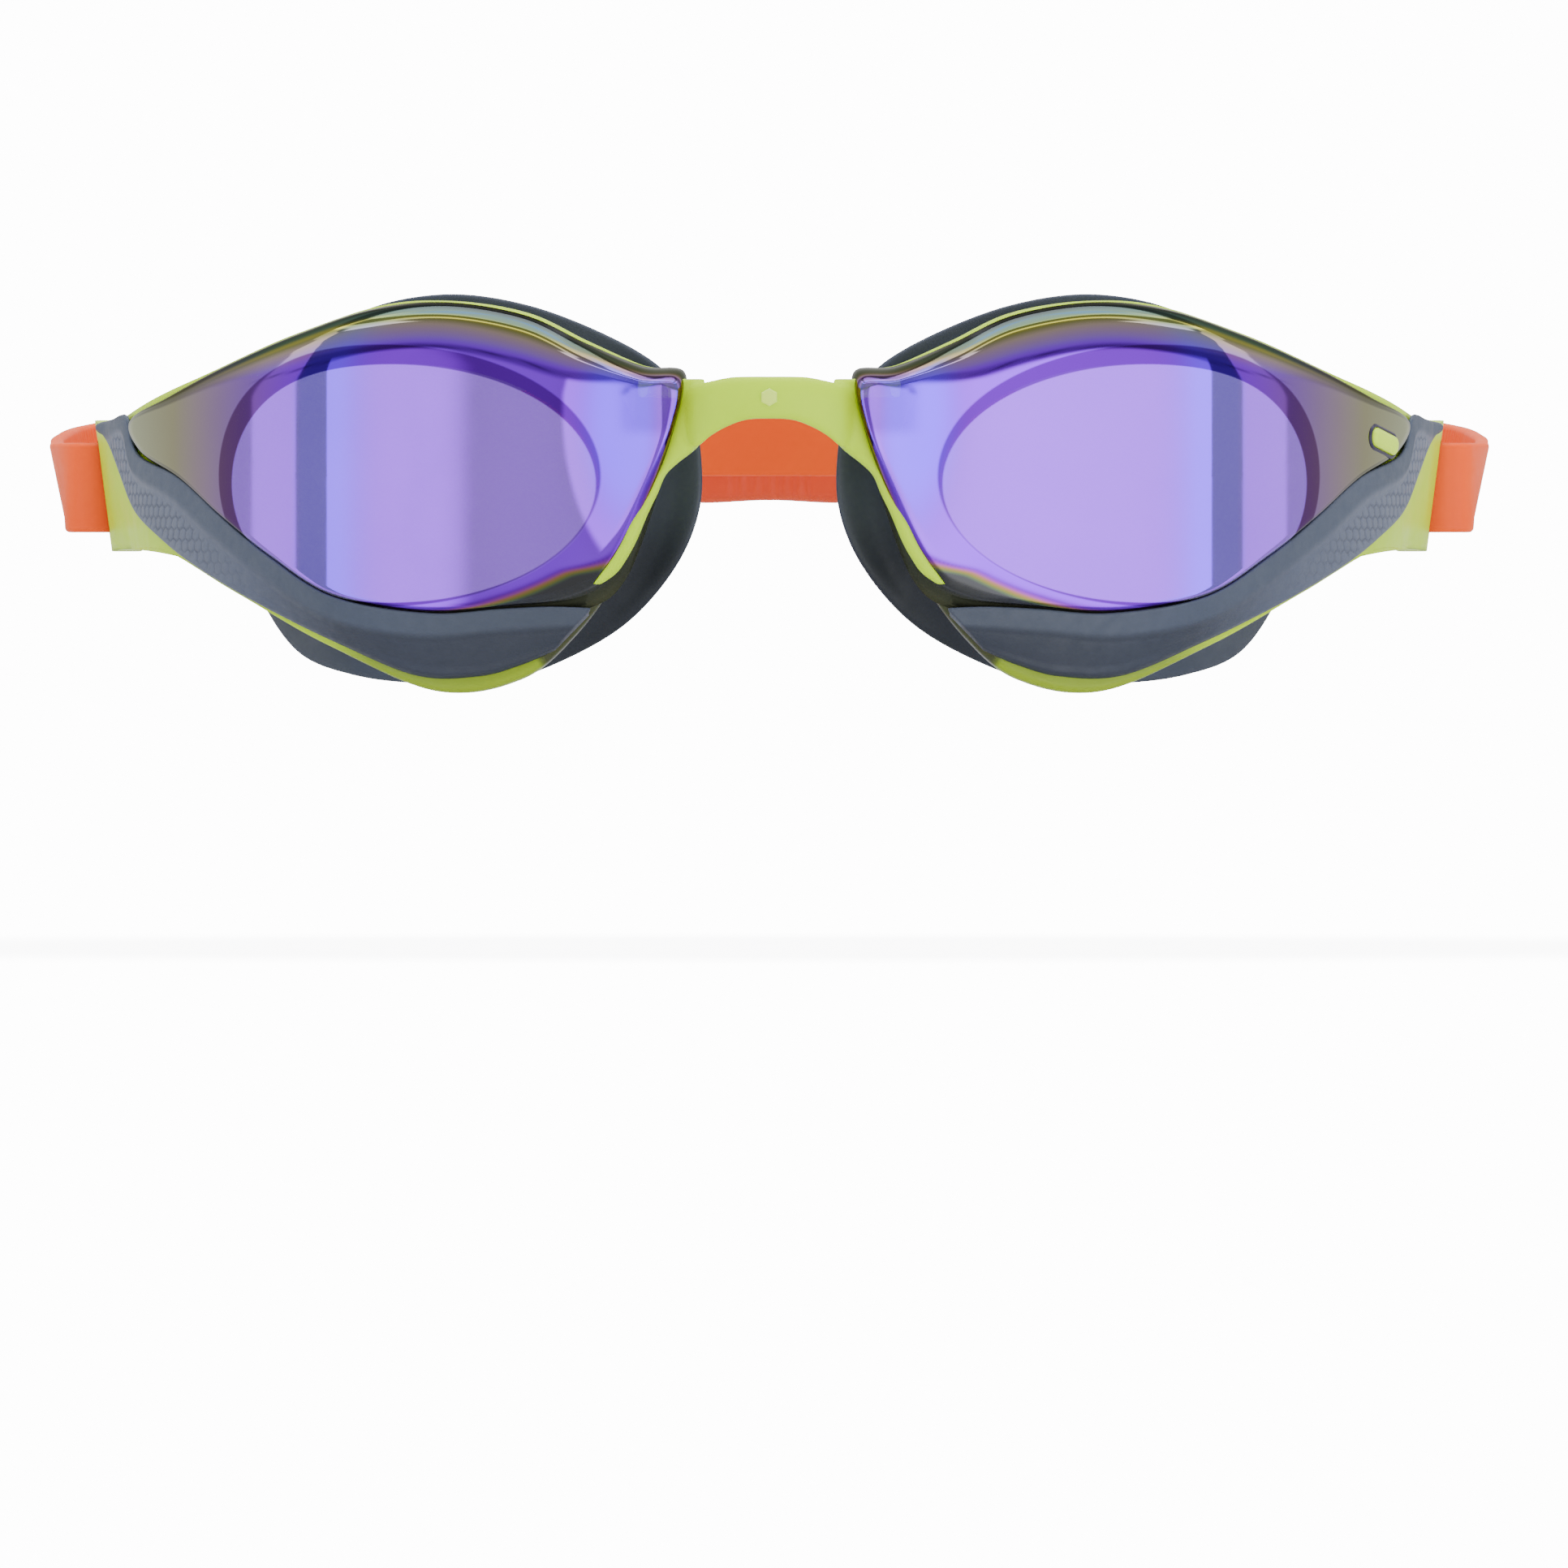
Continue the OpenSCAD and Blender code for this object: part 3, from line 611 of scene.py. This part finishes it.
def slot_cutter(side):
    """A rounded bar as big as the arm's window."""
    half_y, half_z, r = 4.0, 5.45, 1.4
    ring = []
    for k in range(32):
        t = 2 * math.pi * (k + 0.5) / 32
        c, s = math.cos(t), math.sin(t)
        ring.append([math.copysign(half_y - r, c) + r * c, math.copysign(half_z - r, s) + r * s])
    ring = np.array(ring)
    y = 78.6 - MID_Y
    rings = [np.column_stack([np.full(32, x), ring[:, 0] + y, ring[:, 1] + STRAP_Z]) for x in (68, 86)]
    return loft("cutter", side_of(rings, side), caps=True)


def hole_inset(n, d):
    """The rim's hole, drawn in toward the eye."""
    h = closed_curve(HOLE_OUTLINE, n)
    r = np.linalg.norm(h - EYE, axis=1, keepdims=True)
    return EYE + (h - EYE) * (r - d) / r


def window_loop(n, grow):
    """The window's oval, grown a little, with its points opposite those of the rim's hole."""
    h = hole_inset(n, 0)
    s, z, half_s, half_z = WINDOW
    t = np.arctan2((h[:, 1] - z) / half_z, (h[:, 0] - s) / half_s)
    return np.stack([s + (half_s + grow) * np.cos(t), z + (half_z + grow) * np.sin(t)], 1)


def at(loop, n):
    return wrap(loop[:, 0], loop[:, 1], n)


def make_ring(side, name):
    n = 240
    outer = hole_inset(n, 0.15)
    rings = []
    front = [(0, -0.9), (0, -0.55), (0.02, -0.4)] + [(share, -0.35) for share in (0.06, 0.35, 0.7, 1)]
    back = [(share, -2.4) for share in (1, 0.7, 0.35, 0.06)] + [(0, -2.2)]
    for share, level in front + back:
        p = lerp(window_loop(n, 0.12 if level == -0.9 else 0), outer, share)
        rings.append(at(p, level))
    obj = dress(loft(name, side_of(rings, side), ring_closed=True), "ring")
    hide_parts(name_of("eye_ring", side))
    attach(obj, "front_frame")
    return obj


def make_gasket(side, name):
    n = 260
    neck = in_space(closed_curve(GASKET_NECK, n))
    lip = in_space(closed_curve(GASKET_LIP, n))
    c = in_space([39, 30, 24])
    start = at(hole_inset(n, 0.15), -2.55)
    inside_start = at(window_loop(n, 0.8), -2.55)

    def inward(p, d):
        v = (c - p) * [1, 0, 1]
        return p + v / np.linalg.norm(v, axis=1, keepdims=True) * d

    nose = 1 - ramp(9, 22, lip[:, :1])
    lip_front = lip - [0, 1.3, 0] - nose * [0, 1.6, 0]
    bulge = lerp(neck, lip_front, 0.55) + [0, 0.5, 0]
    tuck = lerp(neck, lip_front, 0.16) + [0, 0.5, 0]
    lip_edge = lerp(lip_front, lip, 0.5) - inward(lip, 0.15) + lip
    lip_back = inward(lip, 2.2) + [0, 0.2, 0]
    inside_neck = inward(neck, 1.5) + [0, 0.6, 0]
    profile = np.array([
        start, lerp(start, neck, 0.06), lerp(start, neck, 0.5), neck, tuck, bulge, lip_front, lip_edge,
        lip, inward(lip, 0.9) + [0, 0.12, 0], lip_back, lerp(lip_back, inside_neck, 0.5) + [0, 0.5, 0],
        inside_neck, lerp(inside_neck, inside_start, 0.5), lerp(inside_neck, inside_start, 0.94),
        inside_start])
    rings = catmull(profile, np.linspace(0, len(profile), 6 * len(profile), endpoint=False), True)
    obj = dress(loft(name, side_of(rings, side), ring_closed=True), "gasket")
    # Painted shade: darker low down on the nose side, where little light comes from below.
    painted_shade = 0.85 * ramp(34, 20, rings[..., 0]) * ramp(23, 13, rings[..., 2])
    paint(obj, "painted_shade", np.repeat(painted_shade[..., None], 3, -1))
    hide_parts(name_of("gasket", side))
    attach(obj, "front_frame")
    return obj


def hex_edge(x, y, size):
    """How near a place is to the edge of its hexagonal cell: 0 in the middle, 1 on the edge."""
    x, y = x / size, y / size
    k = math.sqrt(3)
    best = None
    for ox, oy in ((0, 0), (0.5, k / 2)):
        u = np.mod(x - ox + 0.5, 1) - 0.5
        v = np.mod(y - oy + k / 2, k) - k / 2
        d = np.maximum(np.abs(u), np.abs(u) * 0.5 + np.abs(v) * k / 2) * 2
        best = d if best is None else np.minimum(best, d)
    return best


def make_panel(side, name):
    m, k = 620, 84
    top, low = open_curve(PANEL_TOP, m), open_curve(PANEL_LOW, m)
    w = np.linspace(0, 1, k)[None, :]
    p = top[:, None] + (low - top)[:, None] * w[..., None]
    s, z = p[..., 0], p[..., 1]
    width = np.linalg.norm(low - top, axis=1)[:, None]
    from_top, from_low = w * width, (1 - w) * width
    high = np.maximum(0.9, lens_n(top[:, 0], top[:, 1]) - 0.25)[:, None]
    h = lerp(high, 0.9, w) + 1.4 * w * (1 - w)
    bevel = 1 - ramp(1.6, 2.4, from_top)
    h = h - 0.22 * ramp(1.8, 2.6, from_top) * ramp(0.4, 1.6, from_low)
    h = h - 0.7 * (1 - np.sqrt(np.clip(1 - (1 - np.clip(from_low / 0.7, 0, 1)) ** 2, 0, 1)))
    h = h - 0.35 * (1 - np.sqrt(np.clip(1 - (1 - np.clip(from_top / 0.35, 0, 1)) ** 2, 0, 1)))
    end = np.minimum(np.arange(m), np.arange(m)[::-1])[:, None] / 9.0
    h = 0.45 + (h - 0.45) * np.sqrt(np.clip(1 - (1 - np.clip(end, 0, 1)) ** 2, 0.01, 1))
    relief = ramp(46, 68, s) * ramp(2.5, 3.1, from_top) * ramp(0.5, 1.1, from_low)
    groove = ramp(0.74, 0.97, hex_edge(s * 0.92 + z * 0.3, z, 1.5))
    h = h - 0.13 * groove * relief
    base = 1.4 * ramp(91, 99, s)
    hug = (0.5 + 0.6 * ramp(79, 66, s)) * (1 - ramp(0, 3.0, from_top)) * ramp(0, 1, end)
    toward = (top - low) / np.maximum(np.linalg.norm(top - low, axis=1, keepdims=True), 1e-6)
    outer = wrap(s + hug * toward[:, None, 0], z + hug * toward[:, None, 1], np.maximum(h, 0.4) + base)
    back = wrap(s[:, ::-1][:, ::7], z[:, ::-1][:, ::7], 0.25 + base[:, ::-1][:, ::7])
    rings = np.concatenate([outer, back], 1)
    obj = loft(name, side_of(rings, side), caps=True)
    # Painted shade: the face darkens toward the nose, where less light reaches; the bevel along the top edge
    # has a slate tone of its own.
    plain = colour_stops(s, [
        (8, (0.015, 0.0195, 0.027)), (36, (0.018, 0.023, 0.031)), (50, (0.065, 0.075, 0.098)),
        (66, (0.105, 0.115, 0.135)), (84, (0.13, 0.14, 0.16))])
    slate = colour_stops(s, [
        (10, (0.034, 0.043, 0.056)), (45, (0.045, 0.056, 0.073)), (75, (0.055, 0.067, 0.084))])
    tint = lerp(plain, slate, bevel[..., None])
    # Painted shade in the hex grooves.
    tint = tint * (1 - 0.3 * (groove * relief)[..., None])
    paint(obj, "tint", np.concatenate([tint, np.full(back.shape, 0.06)], 1))
    dress(obj, "panel")
    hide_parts(name_of("grip_panel", side))
    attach(obj, "front_frame")
    return obj


# ---------------------------------------------------------------- bridge and badge


def oval_rings(stations, along, k=40):
    """Squared-off ovals at [x, depth, z, half depth, half height], upright or lying along a leg."""
    t = -2 * np.pi * np.arange(k) / k
    c, s = np.cos(t), np.sin(t)
    qx, qy = np.sign(c) * np.abs(c) ** 0.75, np.sign(s) * np.abs(s) ** 0.75
    rings = []
    for x, y, z, half_d, half_h in stations:
        d, h = half_d * qx, half_h * qy
        side, up = (h, 0 * h) if along else (0 * h, h)
        rings.append(np.column_stack([x + side, y - MID_Y + d, z + up]))
    return np.array(rings)


def join(name, parts):
    """One mesh piece from several, which are removed."""
    points, faces = [], []
    for part in parts:
        first = len(points)
        points += [v.co[:] for v in part.data.vertices]
        faces += [[first + v for v in poly.vertices] for poly in part.data.polygons]
        bpy.data.objects.remove(part, do_unlink=True)
    return new_object(name, np.array(points) / MM, faces)


def block(name, low, high):
    x, y, z = zip(low, high)
    ring = [[y[0], z[0]], [y[1], z[0]], [y[1], z[1]], [y[0], z[1]]]
    return loft(name, [[[v, q[0] - MID_Y, q[1]] for q in ring] for v in x], caps=True)


def make_bridge():
    half = open_curve(ARCH, 40)
    other = half[:0:-1] * [-1, 1, 1, 1, 1]
    parts = [loft("arch", oval_rings(np.concatenate([other, half]), False), caps=True)]
    for side in (1, -1):
        leg = oval_rings(open_curve(LEG, 60), True)
        parts.append(loft("leg", side_of(leg, side), caps=True))
        low, high = sorted((side * 7.4, side * 15.1))
        parts.append(block("plug", (low, 3.6, 33.9), (high, 5.4, 36.1)))
    obj = join("nose_bridge_soft", parts)
    melt = obj.modifiers.new("melt", "REMESH")
    melt.mode, melt.voxel_size = "VOXEL", 0.00022
    even = obj.modifiers.new("even", "SMOOTH")
    even.factor, even.iterations = 0.5, 14
    applied(obj)
    obj.data.polygons.foreach_set("use_smooth", [True] * len(obj.data.polygons))
    dress(obj, "bridge")
    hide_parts("nose_bridge")
    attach(obj, "front_frame")
    button = []
    for radius, y in ((1.05, 1.1), (1.05, 0.16), (0.9, 0.03), (0.55, 0.0)):
        t = np.radians(60 * np.arange(6) + 30)
        button.append(np.column_stack([radius * np.cos(t), np.full(6, y - MID_Y), 34 + radius * np.sin(t)]))
    stud = loft("bridge_button", button, caps=True)
    stud.data.polygons.foreach_set("use_smooth", [False] * len(stud.data.polygons))
    dress(stud, "button")
    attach(stud, "front_frame")
    return obj


def capsule_rings(length, steps):
    """Rings of a capsule's outline, one for each [radius, height]."""
    rings = []
    t = 2 * np.pi * (np.arange(72) + 0.5) / 72
    for r, h in steps:
        x = np.sign(np.cos(t)) * length + r * np.cos(t)
        rings.append(np.column_stack([x, r * np.sin(t), np.full(72, h)]))
    return np.array(rings)


def badge_rings(steps):
    """A capsule's rings, stood on the lens at the badge's place."""
    middle_s, middle_z, tilt = 71, 28.9, math.radians(-12)
    c, d = math.cos(tilt), math.sin(tilt)
    rings = capsule_rings(2.4, steps)
    x, y, h = rings[..., 0], rings[..., 1], rings[..., 2]
    s, z = middle_s + x * c - y * d, middle_z + x * d + y * c
    return wrap(s, z, lens_n(s, z) + h)


def make_badge():
    dome = [(1.1, -0.25), (1.1, 0.2), (1.04, 0.38), (0.9, 0.52), (0.6, 0.6), (0.25, 0.62)]
    obj = loft("badge_capsule", badge_rings(dome), caps=True)
    dress(obj, "badge")
    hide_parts("lens_badge")
    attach(obj, "front_frame")
    bezel = [(1.15, -0.3), (1.15, 0.1), (1.25, 0.2), (1.42, 0.18), (1.55, 0.02), (1.55, -0.3)]
    rim = loft("badge_rim", badge_rings(bezel), ring_closed=True)
    dress(rim, "ring")
    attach(rim, "front_frame")


# ---------------------------------------------------------------- strap and clip


def strap_section():
    """[across the thickness, up] round the strap's section, with soft corners."""
    half_t, half_w, r = STRAP_T / 2, STRAP_W / 2, 0.55
    pts = []
    for cx, cz, start in ((1, 1, 0), (-1, 1, 90), (-1, -1, 180), (1, -1, 270)):
        for k in range(5):
            t = math.radians(start + 22.5 * k)
            pts.append([cx * (half_t - r) + r * math.cos(t), cz * (half_w - r) + r * math.sin(t)])
    return np.array(pts)


def swung(points, angle):
    """Points turned up about the swing line by an angle."""
    points = np.asarray(points, float)
    back, up = points[..., 1] + MID_Y - SWING[0], points[..., 2] - SWING[1]
    c, s = np.cos(angle), np.sin(angle)
    return np.stack([points[..., 0], back * c - up * s + SWING[0] - MID_Y, back * s + up * c + SWING[1]], -1)


def ribbon(name, route, ribbed, taper_end, tilt, lean_deg=12):
    """A silicone band along a route in plan, with fine ribs across its side ribbed, +1 or -1."""
    path, length = even_curve(route, 0.22)
    tangent = np.gradient(path, axis=0)
    tangent /= np.linalg.norm(tangent, axis=1, keepdims=True)
    normal = np.column_stack([tangent[:, 1], -tangent[:, 0]])
    section = strap_section()
    b = np.broadcast_to(section[:, 0], (len(path), len(section))).copy()
    up = np.broadcast_to(section[:, 1], b.shape).copy()
    wave = 0.5 - 0.5 * np.cos(2 * np.pi * length / 0.95)
    flat = (np.abs(section[:, 1]) < STRAP_W / 2 - 0.5) & (np.sign(section[:, 0]) == ribbed)
    if flat.any():
        b[:, flat] -= ribbed * 0.10 * wave[:, None]
    if taper_end:
        left = np.clip((length[-1] - length) / 3.2, 0, 1)[:, None]
        up *= np.sqrt(np.clip(1 - (1 - left) ** 2, 0.02, 1))
        b *= 0.55 + 0.45 * np.clip(left * 3, 0, 1)
    depth = path[:, 1]
    lean = math.radians(lean_deg) * ramp(77, 86, depth) * (1 - ramp(108, 150, depth))
    x = path[:, :1] + normal[:, :1] * b + np.sign(path[:, :1]) * np.sin(lean)[:, None] * up
    y = path[:, 1:] + normal[:, 1:] * b - MID_Y
    rings = swung(np.stack([x, y, STRAP_Z + up], -1), tilt * ramp(86, 99, depth)[:, None])
    faces = grid_faces(len(path), len(section), False, True)
    if taper_end:
        faces.append([(len(path) - 1) * len(section) + i for i in range(len(section))])
    return outward(new_object(name, rings, faces))


def make_straps():
    pieces = []
    for side in (1, -1):
        lap = LAP_Y + side * (STRAP_T + 0.05) / 2
        lap_route = [[36, lap - 2.5], [28, lap - 0.5], [22, lap], [10, lap], [0, lap], [-LAP_X, lap]]
        route = np.array(LOOP_OUT + OUTER_BACK + lap_route) * [side, 1]
        obj = ribbon(name_of("strap_outer", side), route, -side, True, OUTER_TILT)
        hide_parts(name_of("outer_strap", side), name_of("strap_loop", side))
        pieces.append((obj, "outer_band"))
    half = LOOP_IN + INNER_BACK
    route = np.array(half + [[-x, y] for x, y in half[-2::-1]])
    obj = ribbon("strap_inner", route, 1, False, INNER_TILT)
    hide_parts("inner_strap")
    pieces.append((obj, "inner_band"))
    for obj, body in pieces:
        dress(obj, "strap")
        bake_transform(obj)


def rounded_loop(half_y, half_z, r, k=12):
    pts = []
    for cy, cz, start in ((1, 1, 0), (-1, 1, 90), (-1, -1, 180), (1, -1, 270)):
        for i in range(k):
            t = math.radians(start + 90 * i / (k - 1))
            pts.append([cy * (half_y - r) + r * math.cos(t), cz * (half_z - r) + r * math.sin(t)])
    return np.array(pts)


def across(loop, x):
    """Stands a loop of the clip at a place across the lap."""
    return np.column_stack([np.full(len(loop), x), loop[:, 0] + LAP_Y - MID_Y, loop[:, 1] + STRAP_Z])


def make_clip():
    """A sleeve with rounded edges, a waist and grip ridges, hollow for the two strap layers."""
    half_l, in_y, in_z, wall = 8.5, 1.95, 5.5, 1.3
    rings = []
    for x in np.linspace(-half_l, half_l, 121):
        edge = np.clip((half_l - abs(x)) / 0.7, 0, 1)
        soft = 0.6 * (1 - math.sqrt(max(0.0, 1 - (1 - edge) ** 2)))
        ridge = 0.16 * (0.5 - 0.5 * math.cos(2 * math.pi * x / 1.7)) * float(abs(x) < 5.1)
        waist = 0.35 * math.exp(-(x / 5.0) ** 2)
        loop = rounded_loop(in_y + wall - soft - ridge, in_z + wall - soft - waist, 1.1)
        rings.append(across(loop, x))
    for x in np.linspace(half_l, -half_l, 9):
        loop = rounded_loop(in_y, in_z, 0.5)
        rings.append(across(loop, x))
    obj = dress(loft("rear_clip", swung(rings, OUTER_TILT), ring_closed=True), "clip")
    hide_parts("strap_clip")
    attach(obj, "clip")


# ---------------------------------------------------------------- stage


def make_floor():
    t = np.linspace(0, 2 * np.pi, 96, endpoint=False)
    rings = [np.column_stack([r * np.cos(t), r * np.sin(t), np.full(96, FLOOR_Z)])
             for r in (5, 150, 320, 480, 640)]
    obj = new_object("floor", np.array(rings), grid_faces(5, 96, False, True) + [list(range(96))[::-1]])
    mat, tree, shader = node_material("pale_floor")
    grain = spread(tree, noise(tree, 25, 3).outputs["Fac"], 0, 1)
    tree.links.new(mixed(tree, grain, (0.53, 0.53, 0.54), (0.57, 0.57, 0.57)), shader.inputs["Base Color"])
    shader.inputs["Roughness"].default_value = 0.6
    coord = tree.nodes.new("ShaderNodeTexCoord")
    length = tree.nodes.new("ShaderNodeVectorMath")
    length.operation = "LENGTH"
    tree.links.new(coord.outputs["Object"], length.inputs[0])
    fade = tree.nodes.new("ShaderNodeMapRange")
    fade.interpolation_type = "SMOOTHSTEP"
    for key, value in (("From Min", 0.09), ("From Max", 0.2), ("To Min", 1.0), ("To Max", 0.0)):
        fade.inputs[key].default_value = value
    tree.links.new(length.outputs["Value"], fade.inputs["Value"])
    tree.links.new(fade.outputs["Result"], shader.inputs["Alpha"])
    path = tree.nodes.new("ShaderNodeLightPath")
    glow = computed(tree, "MULTIPLY", path.outputs["Is Camera Ray"], 9.0)
    tree.links.new(glow, shader.inputs["Emission Strength"])
    shader.inputs["Emission Color"].default_value = (1, 1, 1, 1)
    obj.data.materials.append(mat)


# Soft light by direction: [azimuth from, to, easing at each, elevation from, to, easing, strength].
# Azimuth 0 is in front of the goggles and 90 at the viewer's right; degrees.
SOFTBOXES = [
    [-69, -28.6, 1, 3.6, -50, 9, 4, 2.1], [-34, 34, 30, 30, -50, 9, 4, 0.6], [6, 69, 14, 1, -50, 9, 4, 2.7],
    [-107, -91, 1, 1, -50, 70, 4, 2.0], [91, 107, 1, 1, -50, 70, 4, 2.0],
    [-145, -107, 8, 1, -50, 45, 8, 0.55], [107, 145, 1, 8, -50, 45, 8, 0.55],
    [-190, -145, 8, 8, -50, 45, 8, 0.8], [145, 190, 8, 8, -50, 45, 8, 0.8],
    [-91, 91, 4, 4, 15, 60, 3, 0.3], [-108, 108, 4, 4, 41, 47, 2, 3.2], [-190, 190, 5, 5, 60, 95, 4, 4.0]]

FILL = 0.1            # how much more of the room's light reaches the matt surfaces


def make_world():
    """Pale backdrop for the eye, and a room of soft boxes for everything else."""
    world = bpy.data.worlds.new("studio")
    bpy.context.scene.world = world
    world.use_nodes = True
    tree = world.node_tree
    back = tree.nodes["Background"]
    coord = tree.nodes.new("ShaderNodeTexCoord")
    axes = tree.nodes.new("ShaderNodeSeparateXYZ")
    tree.links.new(coord.outputs["Generated"], axes.inputs[0])
    azimuth = computed(tree, "ARCTAN2", axes.outputs[0], computed(tree, "MULTIPLY", axes.outputs[1], -1.0))
    elevation = computed(tree, "ARCSINE", axes.outputs[2])
    total = 0.42
    for a0, a1, ease0, ease1, e0, e1, ease, strength in SOFTBOXES:
        part = strength
        for angle, edge, soft, way in ((azimuth, a0, ease0, 1), (azimuth, a1, ease1, -1),
                                       (elevation, e0, ease, 1), (elevation, e1, ease, -1)):
            low, high = math.radians(edge - soft / 2), math.radians(edge + soft / 2)
            ends = (0, 1) if way > 0 else (1, 0)
            part = computed(tree, "MULTIPLY", eased(tree, angle, low, high, *ends), part)
        total = computed(tree, "ADD", part, total)
    path = tree.nodes.new("ShaderNodeLightPath")
    through = computed(tree, "GREATER_THAN", path.outputs["Transparent Depth"], 1.5)
    backdrop = mixed(tree, through, (14.0, 14.0, 14.0), (1.2, 1.2, 1.2))
    seen = path.outputs["Is Camera Ray"]
    gain = computed(tree, "ADD", computed(tree, "MULTIPLY", path.outputs["Is Diffuse Ray"], FILL), 1.0)
    total = computed(tree, "MULTIPLY", total, gain)
    sideways = computed(tree, "ABSOLUTE", azimuth)
    cool = computed(tree, "MULTIPLY", eased(tree, sideways, math.radians(31), math.radians(62)),
                    eased(tree, sideways, math.radians(88), math.radians(93), 1, 0))
    room = tree.nodes.new("ShaderNodeVectorMath")
    room.operation = "SCALE"
    tree.links.new(mixed(tree, cool, (1, 1, 1), (0.76, 0.95, 1.6)), room.inputs[0])
    tree.links.new(total, room.inputs["Scale"])
    tree.links.new(mixed(tree, seen, room.outputs[0], backdrop), back.inputs["Color"])
    back.inputs["Strength"].default_value = 1.0


def make_camera():
    distance = 6.0
    data = bpy.data.cameras.new("camera")
    data.lens = 1200.0
    data.clip_end = 20
    camera = bpy.data.objects.new("camera", data)
    aim = Vector((0.0017, -0.075, -0.0104))
    rise = math.radians(0.415)
    camera.location = aim + distance * Vector((0, -math.cos(rise), math.sin(rise)))
    camera.rotation_euler = (aim - camera.location).to_track_quat("-Z", "Y").to_euler()
    bpy.context.scene.collection.objects.link(camera)
    bpy.context.scene.camera = camera


for side in (1, -1):
    make_lens(side, name_of("mirror_lens", side))
    make_frame(side, name_of("rim_and_arm", side))
    make_ring(side, name_of("carrier_ring", side))
    make_gasket(side, name_of("face_gasket", side))
    make_panel(side, name_of("hex_grip", side))
make_bridge()
make_badge()
make_straps()
make_clip()
make_floor()
make_world()
make_camera()
